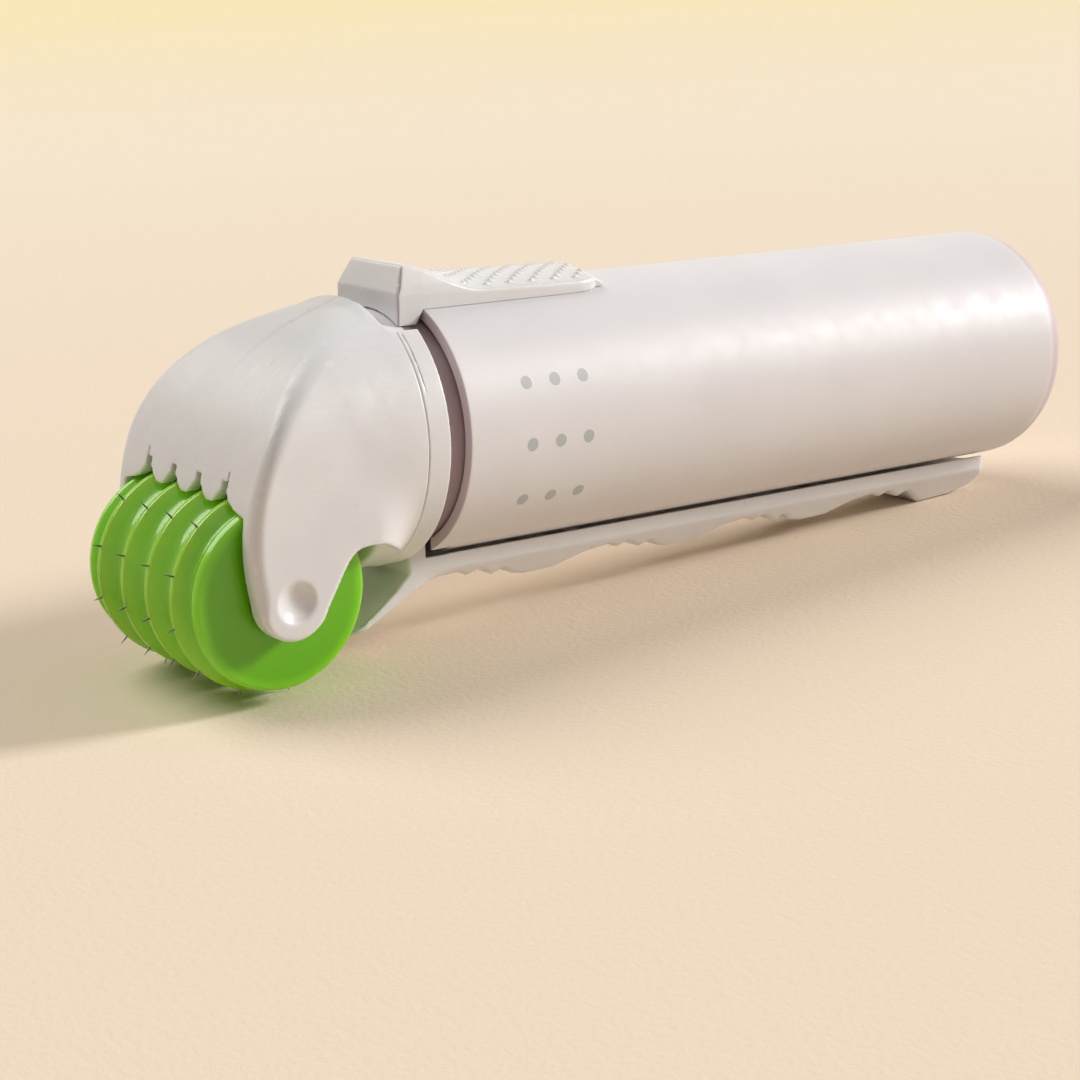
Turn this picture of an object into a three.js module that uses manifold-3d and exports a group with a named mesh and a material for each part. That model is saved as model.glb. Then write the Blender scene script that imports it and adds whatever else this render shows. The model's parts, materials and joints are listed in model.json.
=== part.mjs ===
// Hand-held derma roller with a vial in its handle, in millimetres.
//
// The pieces are laid out along the handle: +X runs from the tail to the head, +Z is up, y = 0 is the
// mirror plane, and the front rim of the handle tube is at x = 0. The finished roller is then tipped
// nose-up onto its lowest needles and the tail of its grip bar, and stood on z = 0.
import * as THREE from 'three';
import { mergeVertices } from 'three/addons/utils/BufferGeometryUtils.js';
import Module from 'manifold-3d';

const wasm = await Module();
wasm.setup();

// ---- Driving sizes -------------------------------------------------------------------------------

// Sides of a round piece, by its size
const largeRound = 48;
const drumRound = 36;
const mediumRound = 28;
const smallRound = 16;

// Gaps
const seatGap = 0.3; // between fixed pieces that seat on each other
const slideGap = 0.4; // radial, between pieces that slide in each other
const spinGap = 0.1; // radial, between the axle and what turns on it
const stackGap = 0.05; // each side of a needle plate in the drum
const sweepGap = 0.9; // between the needle tips and the fixed pieces around them
const combGap = 0.35; // between the drum and the comb

// Handle tube
const tubeRadius = 15;
const tubeWall = 1.1;
const tubeLength = 97.5;
const tubeEndRound = 4.5;
const tubeEndWall = 1.6;
const tubeRimBevel = 0.5;

// Collar and the neck that enters the tube
const collarProud = 0.37;
const collarLength = 2.85;
const neckLength = 12;
const neckWall = 1.4;
const bulkheadWall = 2.4;
const frontRingLength = 2.2;
const frontRingWall = 1.3;
const notchSideRoom = 2.7;
const notchFloor = 2; // above the tube's axis
const sealProud = 0.2; // from the neck up to the top of its seal
const sealGrooveDepth = 0.8;
const sealGrooveWidth = 1.4;
const sealGrooveBack = 8.7; // from the tube's rim to the far side of the neck's seal groove
const doseStroke = 2.6; // how far the thumb pushes the handle forward

// Drum
const axleForward = 22.66;
const axleDrop = 13.85;
const axleRadius = 1;
const drumRadius = 10.98;
const grooveDepth = 1.4;
const drumRimDrop = 0.6; // how far the end flange rounds off at its face
const ringCount = 4;
const needlesPerRing = 12;
const needleLength = 1.16;
const needleWidth = 0.26;
const needlePlate = 0.2;
const needlePhase = THREE.MathUtils.degToRad(10.2); // lowest needle, behind straight down
const hubRadius = 4;
const pipRadius = 3;
const pipHeight = 2;
const bushLength = 3;
const bushWall = 1.1;

// Hood and its two arms
const hoodWall = 2;
const frontWall = 1.6;
const armThickness = 2.3;
const drumSideGap = 0.7;
const hoodReach = 5.04; // from the axle to the furthest front of the hood
const hoodArcRise = 5.85; // from the axle up to where the front is upright
const browSlope = THREE.MathUtils.degToRad(21.8);
const browSetback = 1.15; // from the hood's rear edge to where the brow starts
const armEndRadius = 4.4;
const armEndForward = 0.24;
const armWaist = 9.45; // depth of the arms' underside below the tube axis
const combDepth = 0.75; // from the crest of the drum down to the comb's tips
const slotWidth = 1;
const slotRoom = 0.8; // from the needle tips to the ends of the comb's slots
const dimpleRadius = 2.3;
const dimpleDepth = 1;

// Thumb pad
const padHalfWidth = 6.3;
const padLength = 27.5;
const padFrontReach = 3.5;
const padBlockRise = 3.7; // from the tube up to the top of the front block
const padShoulderRise = 0.3; // from the tube's top up to the edge between its upright and leaning sides
const padLean = 0.33;
const padCrownRise = 1.9; // from the tube up to the crowned top behind the block
const padRamp = 9; // from the tube's rim back to where the block has come down to the crown
const padFootSaddle = 0.5; // from the neck to the saddle under the front block
const padPegRadius = 1.1;
const padPegPlaces = [-7, -18];
const knurlRows = 7;
const knurlPitch = 3.1;
const knurlFirst = 4.2; // from the tube's rim back to the first ridge
const knurlHeight = 0.4;
const knurlHalfWidth = 0.6;
const knurlMargin = 1.5; // from the ends of a ridge to the pad's sides

// Grip bar
const barHalfWidth = 6.3;
const barTubeGap = 0.5;
const barBandHeight = 1.7;
const barLean = 0.62; // sideways per millimetre of height on its lower faces
const barTailSetback = 6.5; // from the end of the tube to the end of the bar
const gripFirst = 4.6; // from the tube's rim to the top of the first finger groove
const gripTop = 1.9; // from the tube's underside to the top of a finger groove
const gripDepth = 2;
const gripCount = 4;
const gripTail = 20.4; // from the top of the last finger groove to the end of the bar
const footSetback = 7.4; // from the end of the bar to the middle of its foot
const footLength = 6;
const footDrop = 4.6; // from the tube's underside to the foot at the bar's tail
const guardReach = 10;
const guardDrop = 6.5;
const guardThickness = 1.3;
const riserRoom = 0.5;
const tenonHalfWidth = 3;
const tenonLength = 2;

// Vial and what moves it
const vialRadius = 12;
const vialLength = 45;
const vialWall = 1.2;
const crimpRadius = 10;
const crimpLength = 7.3;
const cupPlay = 0.6; // radial, between the vial's crimp and its cup
const cupFloor = 1.2;
const flangeWidth = 1.3;
const driveRingWidth = 1.7;
const spikeRadius = 1.5;
const spikeBore = 0.6;
const spikeFlange = 4;
const springWire = 0.4; // radius of the wire of both springs
const returnSpringRadius = 8.5;
const returnSpringTurns = 3.5;
const holdSpringRadius = 9;
const holdSpringTurns = 6;
const followerWall = 1.5;
const followerRim = 4;

// ---- Sizes worked out from them ------------------------------------------------------------------

const tubeBore = tubeRadius - tubeWall;
const neckRadius = tubeBore - slideGap;
const neckBore = neckRadius - neckWall;
const collarRadius = tubeRadius + collarProud;
const collarRear = doseStroke + seatGap;
const collarFront = collarRear + collarLength;
const hoodRear = collarFront + 0.05;
const hoodSide = collarRadius - 0.07;
const armInner = hoodSide - armThickness;
const drumHalfWidth = armInner - drumSideGap;
const ringPitch = (2 * drumHalfWidth) / (ringCount + 0.5);
const needleTipRadius = drumRadius + needleLength;
const grooveRadius = drumRadius - grooveDepth;
const bushRadius = axleRadius + bushWall;
const notchHalfWidth = padHalfWidth + notchSideRoom;
const browStart = hoodRear + browSetback;
const hoodFront = axleForward + hoodReach;
const bulkheadRear = collarFront - bulkheadWall;
const cupRadius = neckBore - 0.3;
const cupBore = crimpRadius + cupPlay;
const cupRear = -neckLength - doseStroke - seatGap;
const flangeRear = cupRear - flangeWidth;
const crimpFront = cupRear + crimpLength + 2.4;
const cupFront = crimpFront + seatGap + cupFloor;
const vialRear = crimpFront - vialLength;
const driveRingFront = flangeRear - seatGap;
const followerFront = vialRear - seatGap;
const handleBottom = -(tubeLength - tubeEndWall);
const padTopHeight = tubeRadius + padBlockRise;
const padShoulder = tubeRadius + padShoulderRise;
const padCrown = tubeRadius + padCrownRise;
const padBase = tubeRadius - 7;
const barTail = -(tubeLength - barTailSetback);
const gripPitch = (-barTail - gripFirst - gripTail) / (gripCount - 1);

// ---- Making and cutting solids -------------------------------------------------------------------

// A closed geometry as a manifold solid: positions only, shared vertices merged, slivers dropped.
function solid(geometry) {
  const bare = geometry.clone();
  bare.deleteAttribute('normal');
  bare.deleteAttribute('uv');
  const merged = mergeVertices(bare, 1e-4);
  const index = merged.index.array;
  const kept = [];
  for (let i = 0; i < index.length; i += 3) {
    const [a, b, c] = [index[i], index[i + 1], index[i + 2]];
    if (a !== b && b !== c && c !== a) kept.push(a, b, c);
  }
  const vertProperties = new Float32Array(merged.attributes.position.array);
  return new wasm.Manifold(new wasm.Mesh({ numProp: 3, vertProperties, triVerts: new Uint32Array(kept) }));
}

function named(name, body, look) {
  const mesh = body.getMesh();
  const geometry = new THREE.BufferGeometry();
  geometry.setAttribute('position', new THREE.BufferAttribute(mesh.vertProperties, 3));
  geometry.setIndex(new THREE.BufferAttribute(mesh.triVerts, 1));
  geometry.computeVertexNormals();
  const part = new THREE.Mesh(geometry, new THREE.MeshStandardMaterial(look));
  part.name = name;
  return part;
}

// A body turned from a profile of [along, radius] pairs, which may run either way round.
function turned(profile, segments) {
  const points = profile.map(([along, radius]) => new THREE.Vector2(radius, along));
  if (THREE.ShapeUtils.area(points) < 0) points.reverse();
  return new THREE.LatheGeometry(points, segments);
}

function turnedX(profile, segments) {
  return solid(turned(profile, segments).rotateZ(-Math.PI / 2));
}

function turnedY(profile, segments) {
  return solid(turned(profile, segments));
}

function rodX(radius, from, to, segments) {
  return turnedX([[from, 0], [from, radius], [to, radius], [to, 0]], segments);
}

function rodY(radius, from, to, segments) {
  return turnedY([[from, 0], [from, radius], [to, radius], [to, 0]], segments);
}

function ringX(outer, inner, from, to, segments) {
  return turnedX([[from, inner], [from, outer], [to, outer], [to, inner], [from, inner]], segments);
}

function ringY(outer, inner, from, to, segments) {
  return turnedY([[from, inner], [from, outer], [to, outer], [to, inner], [from, inner]], segments);
}

function block(x0, x1, y0, y1, z0, z1) {
  const box = new THREE.BoxGeometry(x1 - x0, y1 - y0, z1 - z0);
  return solid(box.translate((x0 + x1) / 2, (y0 + y1) / 2, (z0 + z1) / 2));
}

// A side outline in x and z, extruded from y = -halfWidth to y = halfWidth.
function sideways(shape, halfWidth, curveSegments = 8) {
  const options = { depth: 2 * halfWidth, bevelEnabled: false, curveSegments };
  const geometry = new THREE.ExtrudeGeometry(shape, options);
  return solid(geometry.rotateX(Math.PI / 2).translate(0, halfWidth, 0));
}

// A section in y and z, extruded from x = from to x = to.
function lengthways(shape, from, to) {
  const geometry = new THREE.ExtrudeGeometry(shape, { depth: to - from, bevelEnabled: false });
  const turn = new THREE.Matrix4().makeBasis(
    new THREE.Vector3(0, 1, 0), new THREE.Vector3(0, 0, 1), new THREE.Vector3(1, 0, 0));
  return solid(geometry.applyMatrix4(turn).translate(from, 0, 0));
}

// A plan outline in x and y, extruded from z = from to z = to.
function upright(shape, from, to, curveSegments = 8) {
  const options = { depth: to - from, bevelEnabled: false, curveSegments };
  return solid(new THREE.ExtrudeGeometry(shape, options).translate(0, 0, from));
}

function outline(points) {
  return new THREE.Shape(points.map(([u, v]) => new THREE.Vector2(u, v)));
}

// A solid through rings of points that run the same way round, closed by a fan at each end.
function loft(rings) {
  const count = rings[0].length;
  const positions = [];
  const faces = [];
  for (const ring of rings) for (const p of ring) positions.push(p.x, p.y, p.z);
  for (let r = 0; r + 1 < rings.length; r += 1) {
    for (let i = 0; i < count; i += 1) {
      const a = r * count + i;
      const b = r * count + ((i + 1) % count);
      faces.push(a, b, a + count, b, b + count, a + count);
    }
  }
  const last = (rings.length - 1) * count;
  for (let i = 1; i + 1 < count; i += 1) {
    faces.push(0, i + 1, i);
    faces.push(last, last + i, last + i + 1);
  }
  const geometry = new THREE.BufferGeometry();
  geometry.setAttribute('position', new THREE.Float32BufferAttribute(positions, 3));
  geometry.setIndex(faces);
  return solid(geometry);
}

// A coil spring along X: a round wire swept along a helix.
class Helix extends THREE.Curve {
  constructor(radius, from, to, turns) {
    super();
    Object.assign(this, { radius, from, to, turns });
  }

  getPoint(t, target = new THREE.Vector3()) {
    const angle = t * this.turns * 2 * Math.PI;
    const x = this.from + (this.to - this.from) * t;
    return target.set(x, this.radius * Math.cos(angle), this.radius * Math.sin(angle));
  }
}

function spring(radius, from, to, turns, stepsPerTurn) {
  const wire = new THREE.Shape().absarc(0, 0, springWire, 0, 2 * Math.PI, false);
  const path = new Helix(radius, from + springWire, to - springWire, turns);
  const options = { extrudePath: path, steps: Math.round(turns * stepsPerTurn), curveSegments: 3 };
  return solid(new THREE.ExtrudeGeometry(wire, options));
}

// ---- Hood ----------------------------------------------------------------------------------------

// The arc of the hood's front touches the brow's slope and is upright at the furthest front.
const arcZ = -axleDrop + hoodArcRise;
const arcRadius = ((browStart - hoodFront) * Math.sin(browSlope)
  + (collarRadius - arcZ) * Math.cos(browSlope)) / (1 - Math.sin(browSlope));
const arcX = hoodFront - arcRadius;
const armEndX = axleForward + armEndForward;

// The lower edge of the hood from the back of the arms to the collar, lowered by drop.
function waistLine(drop) {
  const fold = armEndX - armEndRadius;
  return [
    [fold - 2.3, -armWaist - 0.75 - drop], [fold - 3.85, -armWaist - drop],
    [hoodRear + 4.9, -armWaist - 0.45 - drop], [hoodRear + 1.2, -armWaist - 2.2 - drop],
    [hoodRear - 1, -armWaist - 2.7 - drop],
  ];
}

// Side outline of the hood and arms, taken in by the given wall at the front and the brow.
function hoodOutline(inset) {
  const back = hoodRear - 1;
  const radius = arcRadius - inset;
  const brow = Math.PI / 2 - browSlope;
  const browX = arcX + radius * Math.cos(brow);
  const browZ = arcZ + radius * Math.sin(brow);
  const top = browZ + (browX - back) * Math.tan(browSlope);
  const shape = new THREE.Shape();
  shape.moveTo(back, top);
  for (const [x, z] of waistLine(0).reverse()) shape.lineTo(x, z);
  shape.absarc(armEndX, -axleDrop, armEndRadius, Math.PI, 2 * Math.PI, false);
  shape.absarc(arcX, arcZ, radius, 0, brow, false);
  return shape;
}

// Cross-section of the hood: round where it meets the collar, and upright-sided from the drum on.
function hoodRing(x, radius, side) {
  const blend = THREE.MathUtils.smoothstep(x, hoodRear, hoodRear + 6.5);
  const arcSteps = 20;
  const sideSteps = 7;
  const depth = axleDrop + armEndRadius + 3;
  const right = [];
  for (let k = sideSteps; k > 0; k -= 1) {
    const angle = (k / sideSteps) * (Math.PI * 0.44);
    const y = THREE.MathUtils.lerp(radius * Math.cos(angle), side, blend);
    const z = THREE.MathUtils.lerp(-radius * Math.sin(angle), (-depth * k) / sideSteps, blend);
    right.push(new THREE.Vector3(x, y, z));
  }
  const arch = [];
  for (let k = 0; k <= arcSteps; k += 1) {
    const angle = (k / arcSteps) * Math.PI;
    const flat = side / radius;
    const edge = THREE.MathUtils.lerp(1, flat, blend);
    arch.push(new THREE.Vector3(x, radius * edge * Math.cos(angle), radius * Math.sin(angle)));
  }
  const left = right.map((p) => new THREE.Vector3(p.x, -p.y, p.z)).reverse();
  return [...right, ...arch, ...left];
}

function hoodBody(radius, side, from) {
  const stations = [from, hoodRear + 1.5, hoodRear + 3, hoodRear + 4.6, hoodRear + 6.5, hoodFront + 2];
  return loft(stations.map((x) => hoodRing(x, radius, side)));
}

// The drum's outline from the middle to the end face: crests at the needles, grooves between.
function drumProfile(grow) {
  const crest = drumRadius + grow;
  const valley = grooveRadius + grow;
  const firstCrest = ringPitch / 2;
  const half = [[0, valley]];
  for (let k = 0; k < ringCount / 2; k += 1) {
    const y = firstCrest + k * ringPitch;
    half.push([y - 0.3 - grow / 2, crest], [y + 0.3 + grow / 2, crest]);
    if (k + 1 < ringCount / 2) half.push([y + ringPitch / 2, valley]);
  }
  const outer = firstCrest + (ringCount / 2 - 1) * ringPitch;
  half.push([outer + ringPitch * 0.4, valley + 0.25]);
  half.push([drumHalfWidth - 0.8, crest], [drumHalfWidth + grow, crest - drumRimDrop]);
  return half;
}

function drumEnvelope(grow) {
  const half = drumProfile(grow);
  const end = drumHalfWidth + grow;
  const mirrored = half.slice(1).map(([y, r]) => [-y, r]).reverse();
  const drum = turnedY([[-end, 0], ...mirrored, ...half, [end, 0]], drumRound);
  return drum.translate([axleForward, 0, -axleDrop]);
}

function ringPlaces() {
  return Array.from({ length: ringCount }, (_, k) => (k - (ringCount - 1) / 2) * ringPitch);
}

// The room for the front of the thumb pad in the collar and the hood.
function padNotch(from, to) {
  return block(from, to, -notchHalfWidth, notchHalfWidth, notchFloor, collarRadius + 2);
}

function hoodShell() {
  const outer = hoodBody(collarRadius, hoodSide, hoodRear)
    .intersect(sideways(hoodOutline(0), hoodSide + 5, 10));
  const hollowOutline = hoodOutline(frontWall);
  const hollow = hoodBody(collarRadius - hoodWall, armInner, hoodRear - 1);
  const room = block(hoodRear - 2, hoodFront + 9, -armInner, armInner, -axleDrop - 9, -axleDrop);
  const combTip = -axleDrop + drumRadius - combDepth - combGap;
  const mouth = block(axleForward - 12, hoodFront + 9, -armInner, armInner, -axleDrop - 9, combTip);
  let shell = outer.subtract(hollow.intersect(sideways(hollowOutline, armInner + 2, 10)));
  shell = shell.subtract(room).subtract(mouth).subtract(drumEnvelope(combGap));
  for (const y of ringPlaces()) {
    const reach = needleTipRadius + slotRoom;
    const slot = rodY(reach, y - slotWidth / 2, y + slotWidth / 2, drumRound);
    shell = shell.subtract(slot.translate([axleForward, 0, -axleDrop]));
  }
  shell = shell.subtract(padNotch(hoodRear - 1, browStart));
  const pip = rodY(pipRadius, armInner - pipHeight, armInner + 0.5, smallRound);
  const bore = rodY(axleRadius + spinGap, armInner - pipHeight - 1, armInner + 0.9, smallRound);
  const ballDepth = (dimpleRadius ** 2 - dimpleDepth ** 2) / (2 * dimpleDepth);
  const ball = solid(new THREE.SphereGeometry(ballDepth + dimpleDepth, 16, 12));
  const dimple = ball.translate([0, hoodSide + ballDepth, 0]);
  for (const onSide of [(piece) => piece, (piece) => piece.mirror([0, 1, 0])]) {
    const seat = (piece) => onSide(piece).translate([axleForward, 0, -axleDrop]);
    shell = shell.add(seat(pip)).subtract(seat(bore)).subtract(seat(dimple));
  }
  return shell;
}

// ---- Neck, collar and chin -----------------------------------------------------------------------

function neckCollar() {
  const grooveFront = sealGrooveWidth - sealGrooveBack;
  const grooveFloor = neckRadius - sealGrooveDepth;
  const sleeve = turnedX([
    [-neckLength, neckBore], [-neckLength, neckRadius - 0.4], [-neckLength + 0.6, neckRadius],
    [-sealGrooveBack, neckRadius], [-sealGrooveBack, grooveFloor],
    [grooveFront, grooveFloor], [grooveFront, neckRadius],
    [collarRear, neckRadius], [collarRear, collarRadius - 0.2], [collarRear + 0.2, collarRadius],
    [collarFront, collarRadius], [collarFront, neckRadius - 0.4],
    [collarFront + frontRingLength, neckRadius - 0.4],
    [collarFront + frontRingLength, neckRadius - 0.4 - frontRingWall],
    [collarFront, neckRadius - 0.4 - frontRingWall],
    [collarFront, spikeRadius + 0.7], [bulkheadRear, spikeRadius + 0.7], [bulkheadRear, neckBore],
    [-neckLength, neckBore],
  ], largeRound);
  const notch = padNotch(collarRear - 1, collarFront + 1);
  const kept = rodX(neckRadius, collarRear - 2, collarFront + 2, largeRound);
  const pocketBottom = -neckRadius - 1.4;
  const pocket = block(collarRear - 1, collarRear + tenonLength + 0.3,
    -tenonHalfWidth - 0.3, tenonHalfWidth + 0.3, pocketBottom, -neckRadius + 0.01);
  return sleeve.subtract(notch.subtract(kept)).add(chin()).subtract(pocket);
}

// The rounded chin under the hood, between the collar and the drum.
function chin() {
  const ring = ringX(collarRadius, neckRadius - 0.4, collarFront - 0.5, axleForward, largeRound);
  const belly = -collarRadius - 3;
  const upper = waistLine(seatGap).slice(2);
  const side = outline([
    [collarFront - 1, belly], [axleForward, belly], [axleForward, upper[0][1]], ...upper,
  ]);
  const sweep = rodY(needleTipRadius + sweepGap, -armInner, armInner, drumRound);
  return ring.intersect(sideways(side, collarRadius))
    .subtract(sweep.translate([axleForward, 0, -axleDrop]));
}

function neckSeal() {
  const side = 0.2;
  const rear = side - sealGrooveBack;
  return ringX(neckRadius + sealProud, neckRadius - sealGrooveDepth + side,
    rear, rear + sealGrooveWidth - 2 * side, mediumRound);
}

// ---- Grip bar with finger grooves, guard and foot ------------------------------------------------

// Rest angle: the floor touches the lowest needles and the foot at the bar's tail.
const footX = barTail + footSetback;
const footZ = -tubeRadius - footDrop;
const footToAxle = new THREE.Vector2(axleForward - footX, -axleDrop - footZ);
const restTilt = Math.asin((needleTipRadius * Math.cos(needlePhase)) / footToAxle.length())
  - Math.atan2(footToAxle.y, footToAxle.x);

function floorAt(x) {
  return footZ - (x - footX) * Math.tan(restTilt);
}

function barOutline() {
  const high = -tubeRadius - gripTop;
  const low = high - gripDepth;
  const guardTip = -tubeRadius - guardDrop;
  const shape = new THREE.Shape();
  const rise = -neckRadius + 1;
  shape.moveTo(seatGap, rise);
  shape.lineTo(barTail + 0.8, rise);
  shape.lineTo(barTail, rise - 1);
  shape.lineTo(barTail, -tubeRadius - 2);
  shape.lineTo(footX - footLength, -tubeRadius - 3.4);
  shape.lineTo(footX - footLength / 2, floorAt(footX - footLength / 2));
  shape.lineTo(footX + footLength / 2, floorAt(footX + footLength / 2));
  // Each groove as shares of the pitch from its top: hump, teeth, top, then the rise of the next hump
  const teeth = [[-0.38, 0.9], [-0.3, 0.3], [-0.23, 0.6], [-0.12, 0.05], [-0.06, 0.35], [0, 0]];
  for (let k = gripCount - 1; k >= 0; k -= 1) {
    const at = (share) => -(gripFirst + k * gripPitch) + share * gripPitch;
    if (k < gripCount - 1) shape.lineTo(at(-0.46), low);
    for (const [share, drop] of teeth) shape.lineTo(at(share), high - drop * gripDepth);
    if (k > 0) shape.quadraticCurveTo(at(0.23), high - 0.2, at(0.36), low + 0.2);
    if (k > 0) shape.lineTo(at(0.43), low);
  }
  shape.quadraticCurveTo(1.5, high - 0.3, guardReach * 0.6, guardTip + 1);
  shape.quadraticCurveTo(guardReach * 0.85, guardTip, guardReach, guardTip);
  shape.lineTo(guardReach - 0.3, guardTip + 0.4);
  shape.quadraticCurveTo(guardReach * 0.75, guardTip + guardThickness, guardReach * 0.45, high - 0.6);
  shape.lineTo(collarRear - seatGap, high + 0.9);
  shape.lineTo(collarRear - seatGap, rise);
  return shape;
}

function gripBar() {
  const deep = -tubeRadius - 9;
  const bandBottom = -tubeRadius + 0.75 - barBandHeight;
  const leanHalf = barHalfWidth - barLean * (bandBottom - deep);
  const section = outline([
    [barHalfWidth, 0], [-barHalfWidth, 0], [-barHalfWidth, bandBottom], [-leanHalf, deep],
    [leanHalf, deep], [barHalfWidth, bandBottom],
  ]);
  const plan = new THREE.Shape();
  plan.moveTo(barTail, -barHalfWidth);
  plan.lineTo(guardReach - 4, -barHalfWidth);
  plan.quadraticCurveTo(guardReach, -barHalfWidth + 0.6, guardReach, 0);
  plan.quadraticCurveTo(guardReach, barHalfWidth - 0.6, guardReach - 4, barHalfWidth);
  plan.lineTo(barTail, barHalfWidth);
  const cradle = rodX(tubeRadius + barTubeGap, barTail - 5, seatGap, largeRound);
  const neckRoom = rodX(neckRadius + seatGap, 0, guardReach, largeRound);
  const sweep = rodY(needleTipRadius + sweepGap, -barHalfWidth - 1, barHalfWidth + 1, drumRound);
  const tenon = block(seatGap + 1, collarRear + tenonLength, -tenonHalfWidth, tenonHalfWidth,
    -neckRadius - 1.1, -neckRadius - 0.3);
  return sideways(barOutline(), barHalfWidth + 1, 6)
    .intersect(lengthways(section, barTail - 2, guardReach + 2))
    .intersect(upright(plan, deep, 0, 6))
    .subtract(cradle).subtract(neckRoom)
    .subtract(sweep.translate([axleForward, 0, -axleDrop]))
    .add(tenon);
}

// ---- Handle tube and thumb pad -------------------------------------------------------------------

function handleTube() {
  const innerRound = tubeEndRound - tubeEndWall;
  const outside = [];
  const inside = [];
  const steps = 4;
  for (let k = 0; k <= steps; k += 1) {
    const angle = (k / steps) * (Math.PI / 2);
    outside.push([-tubeLength + tubeEndRound * (1 - Math.cos(angle)),
      tubeRadius - tubeEndRound * (1 - Math.sin(angle))]);
    inside.push([handleBottom + innerRound * (1 - Math.cos(angle)),
      tubeBore - innerRound * (1 - Math.sin(angle))]);
  }
  const shell = turnedX([
    [-tubeLength, 0], ...outside, [0, tubeRadius], [0, tubeBore + tubeRimBevel], [-tubeRimBevel, tubeBore],
    ...inside.reverse(), [handleBottom, 0],
  ], largeRound);
  const notchHalf = barHalfWidth + riserRoom;
  const rimNotch = block(-doseStroke - seatGap, 1, -notchHalf, notchHalf, -tubeRadius - 1, -5);
  let tube = shell.subtract(rimNotch);
  for (const x of padPegPlaces) {
    const holeRadius = padPegRadius + seatGap;
    const hole = new THREE.CylinderGeometry(holeRadius, holeRadius, 6, 10).rotateX(Math.PI / 2);
    tube = tube.subtract(solid(hole.translate(x, 0, tubeRadius)));
  }
  return tube;
}

function padTop(x) {
  const fall = THREE.MathUtils.smoothstep(-x, -2, padRamp);
  return THREE.MathUtils.lerp(padTopHeight, padCrown, 1 - (1 - fall) ** 1.4);
}

function thumbPad() {
  const tail = -padLength;
  const side = new THREE.Shape();
  side.moveTo(padFrontReach, padBase);
  side.lineTo(padFrontReach, padShoulder + 0.4);
  side.lineTo(padFrontReach - 1.4, padTopHeight);
  for (const x of [-0.7, -2.5, -4.5, -6.5, -9]) side.lineTo(x, padTop(x));
  side.lineTo(tail + 4, padCrown);
  side.quadraticCurveTo(tail + 1, padCrown - 0.2, tail, padCrown - 2);
  side.lineTo(tail, padBase);
  const plan = new THREE.Shape();
  plan.moveTo(padFrontReach + 1, -padHalfWidth);
  plan.lineTo(padFrontReach + 1, padHalfWidth);
  plan.lineTo(tail + 5.5, padHalfWidth);
  plan.quadraticCurveTo(tail, padHalfWidth, tail, 0);
  plan.quadraticCurveTo(tail, -padHalfWidth, tail + 5.5, -padHalfWidth);
  const leanTop = padHalfWidth - padLean * (padTopHeight - padShoulder + 1);
  const section = outline([
    [-padHalfWidth, padBase], [padHalfWidth, padBase], [padHalfWidth, padShoulder],
    [leanTop, padTopHeight + 1], [-leanTop, padTopHeight + 1], [-padHalfWidth, padShoulder],
  ]);
  const front = block(-padRamp - 0.01, padFrontReach + 2, -padHalfWidth, padHalfWidth,
    padBase, padTopHeight + 1);
  const crown = rodX(padCrown, tail - 2, -padRamp, largeRound).add(front);
  const onTube = rodX(tubeRadius + 0.2, tail - 2, seatGap, largeRound);
  const onNeck = rodX(neckRadius + padFootSaddle, 0, padFrontReach + 2, largeRound);
  let pad = sideways(side, padHalfWidth + 2)
    .intersect(upright(plan, padBase, padTopHeight + 2))
    .intersect(lengthways(section, tail - 2, padFrontReach + 2))
    .intersect(crown).subtract(onTube).subtract(onNeck);
  for (const x of padPegPlaces) {
    const peg = new THREE.CylinderGeometry(padPegRadius, padPegRadius, 2, 10).rotateX(Math.PI / 2);
    pad = pad.add(solid(peg).translate([x, 0, tubeBore + 1.15]));
  }
  return pad.add(knurls());
}

// Low ridges across the crowned thumb pad, which carry its rows of bumps.
function knurls() {
  let field = null;
  for (let row = 0; row < knurlRows; row += 1) {
    const x = -knurlFirst - row * knurlPitch;
    const top = padTop(x) + knurlHeight;
    const side = top - 2 * knurlHeight;
    const ridge = turnedX([
      [x - knurlHalfWidth, 0], [x - knurlHalfWidth, side], [x, top],
      [x + knurlHalfWidth, side], [x + knurlHalfWidth, 0],
    ], largeRound);
    const reach = padHalfWidth - knurlMargin;
    const kept = ridge.intersect(block(x - 1, x + 1, -reach, reach, padCrown - 1.4, top + 1));
    field = field ? field.add(kept) : kept;
  }
  return field;
}

// ---- Drum ----------------------------------------------------------------------------------------

function middleDisc(place) {
  const half = ringPitch / 2 - needlePlate / 2 - stackGap;
  const bore = hubRadius + 0.15;
  const wide = half - 0.25;
  return turnedY([
    [place - half, bore], [place - half, drumRadius - 0.1], [place - wide, drumRadius],
    [place - 0.35, grooveRadius + 0.1], [place + 0.35, grooveRadius + 0.1],
    [place + wide, drumRadius], [place + half, drumRadius - 0.1],
    [place + half, bore], [place - half, bore],
  ], drumRound);
}

function endDisc(hand) {
  const inner = ((ringCount - 1) * ringPitch) / 2 + needlePlate / 2 + stackGap;
  const groove = inner + ringPitch * 0.36;
  const pocketFloor = armInner - pipHeight - 0.3;
  const web = pocketFloor - 0.6;
  const profile = [
    [inner, hubRadius + 0.15], [inner, drumRadius - 0.1], [inner + 0.25, drumRadius],
    [groove, grooveRadius + 0.35], [groove + 0.5, grooveRadius + 0.35],
    [drumHalfWidth - 0.75, drumRadius], [drumHalfWidth - 0.25, drumRadius - 0.2],
    [drumHalfWidth, drumRadius - drumRimDrop],
    [drumHalfWidth, pipRadius + 0.6], [pocketFloor, pipRadius + 0.6], [pocketFloor, axleRadius + 0.4],
    [web, axleRadius + 0.4], [web, hubRadius + 0.15], [inner, hubRadius + 0.15],
  ];
  const disc = turnedY(profile, drumRound);
  return hand < 0 ? disc.mirror([0, 1, 0]) : disc;
}

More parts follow.
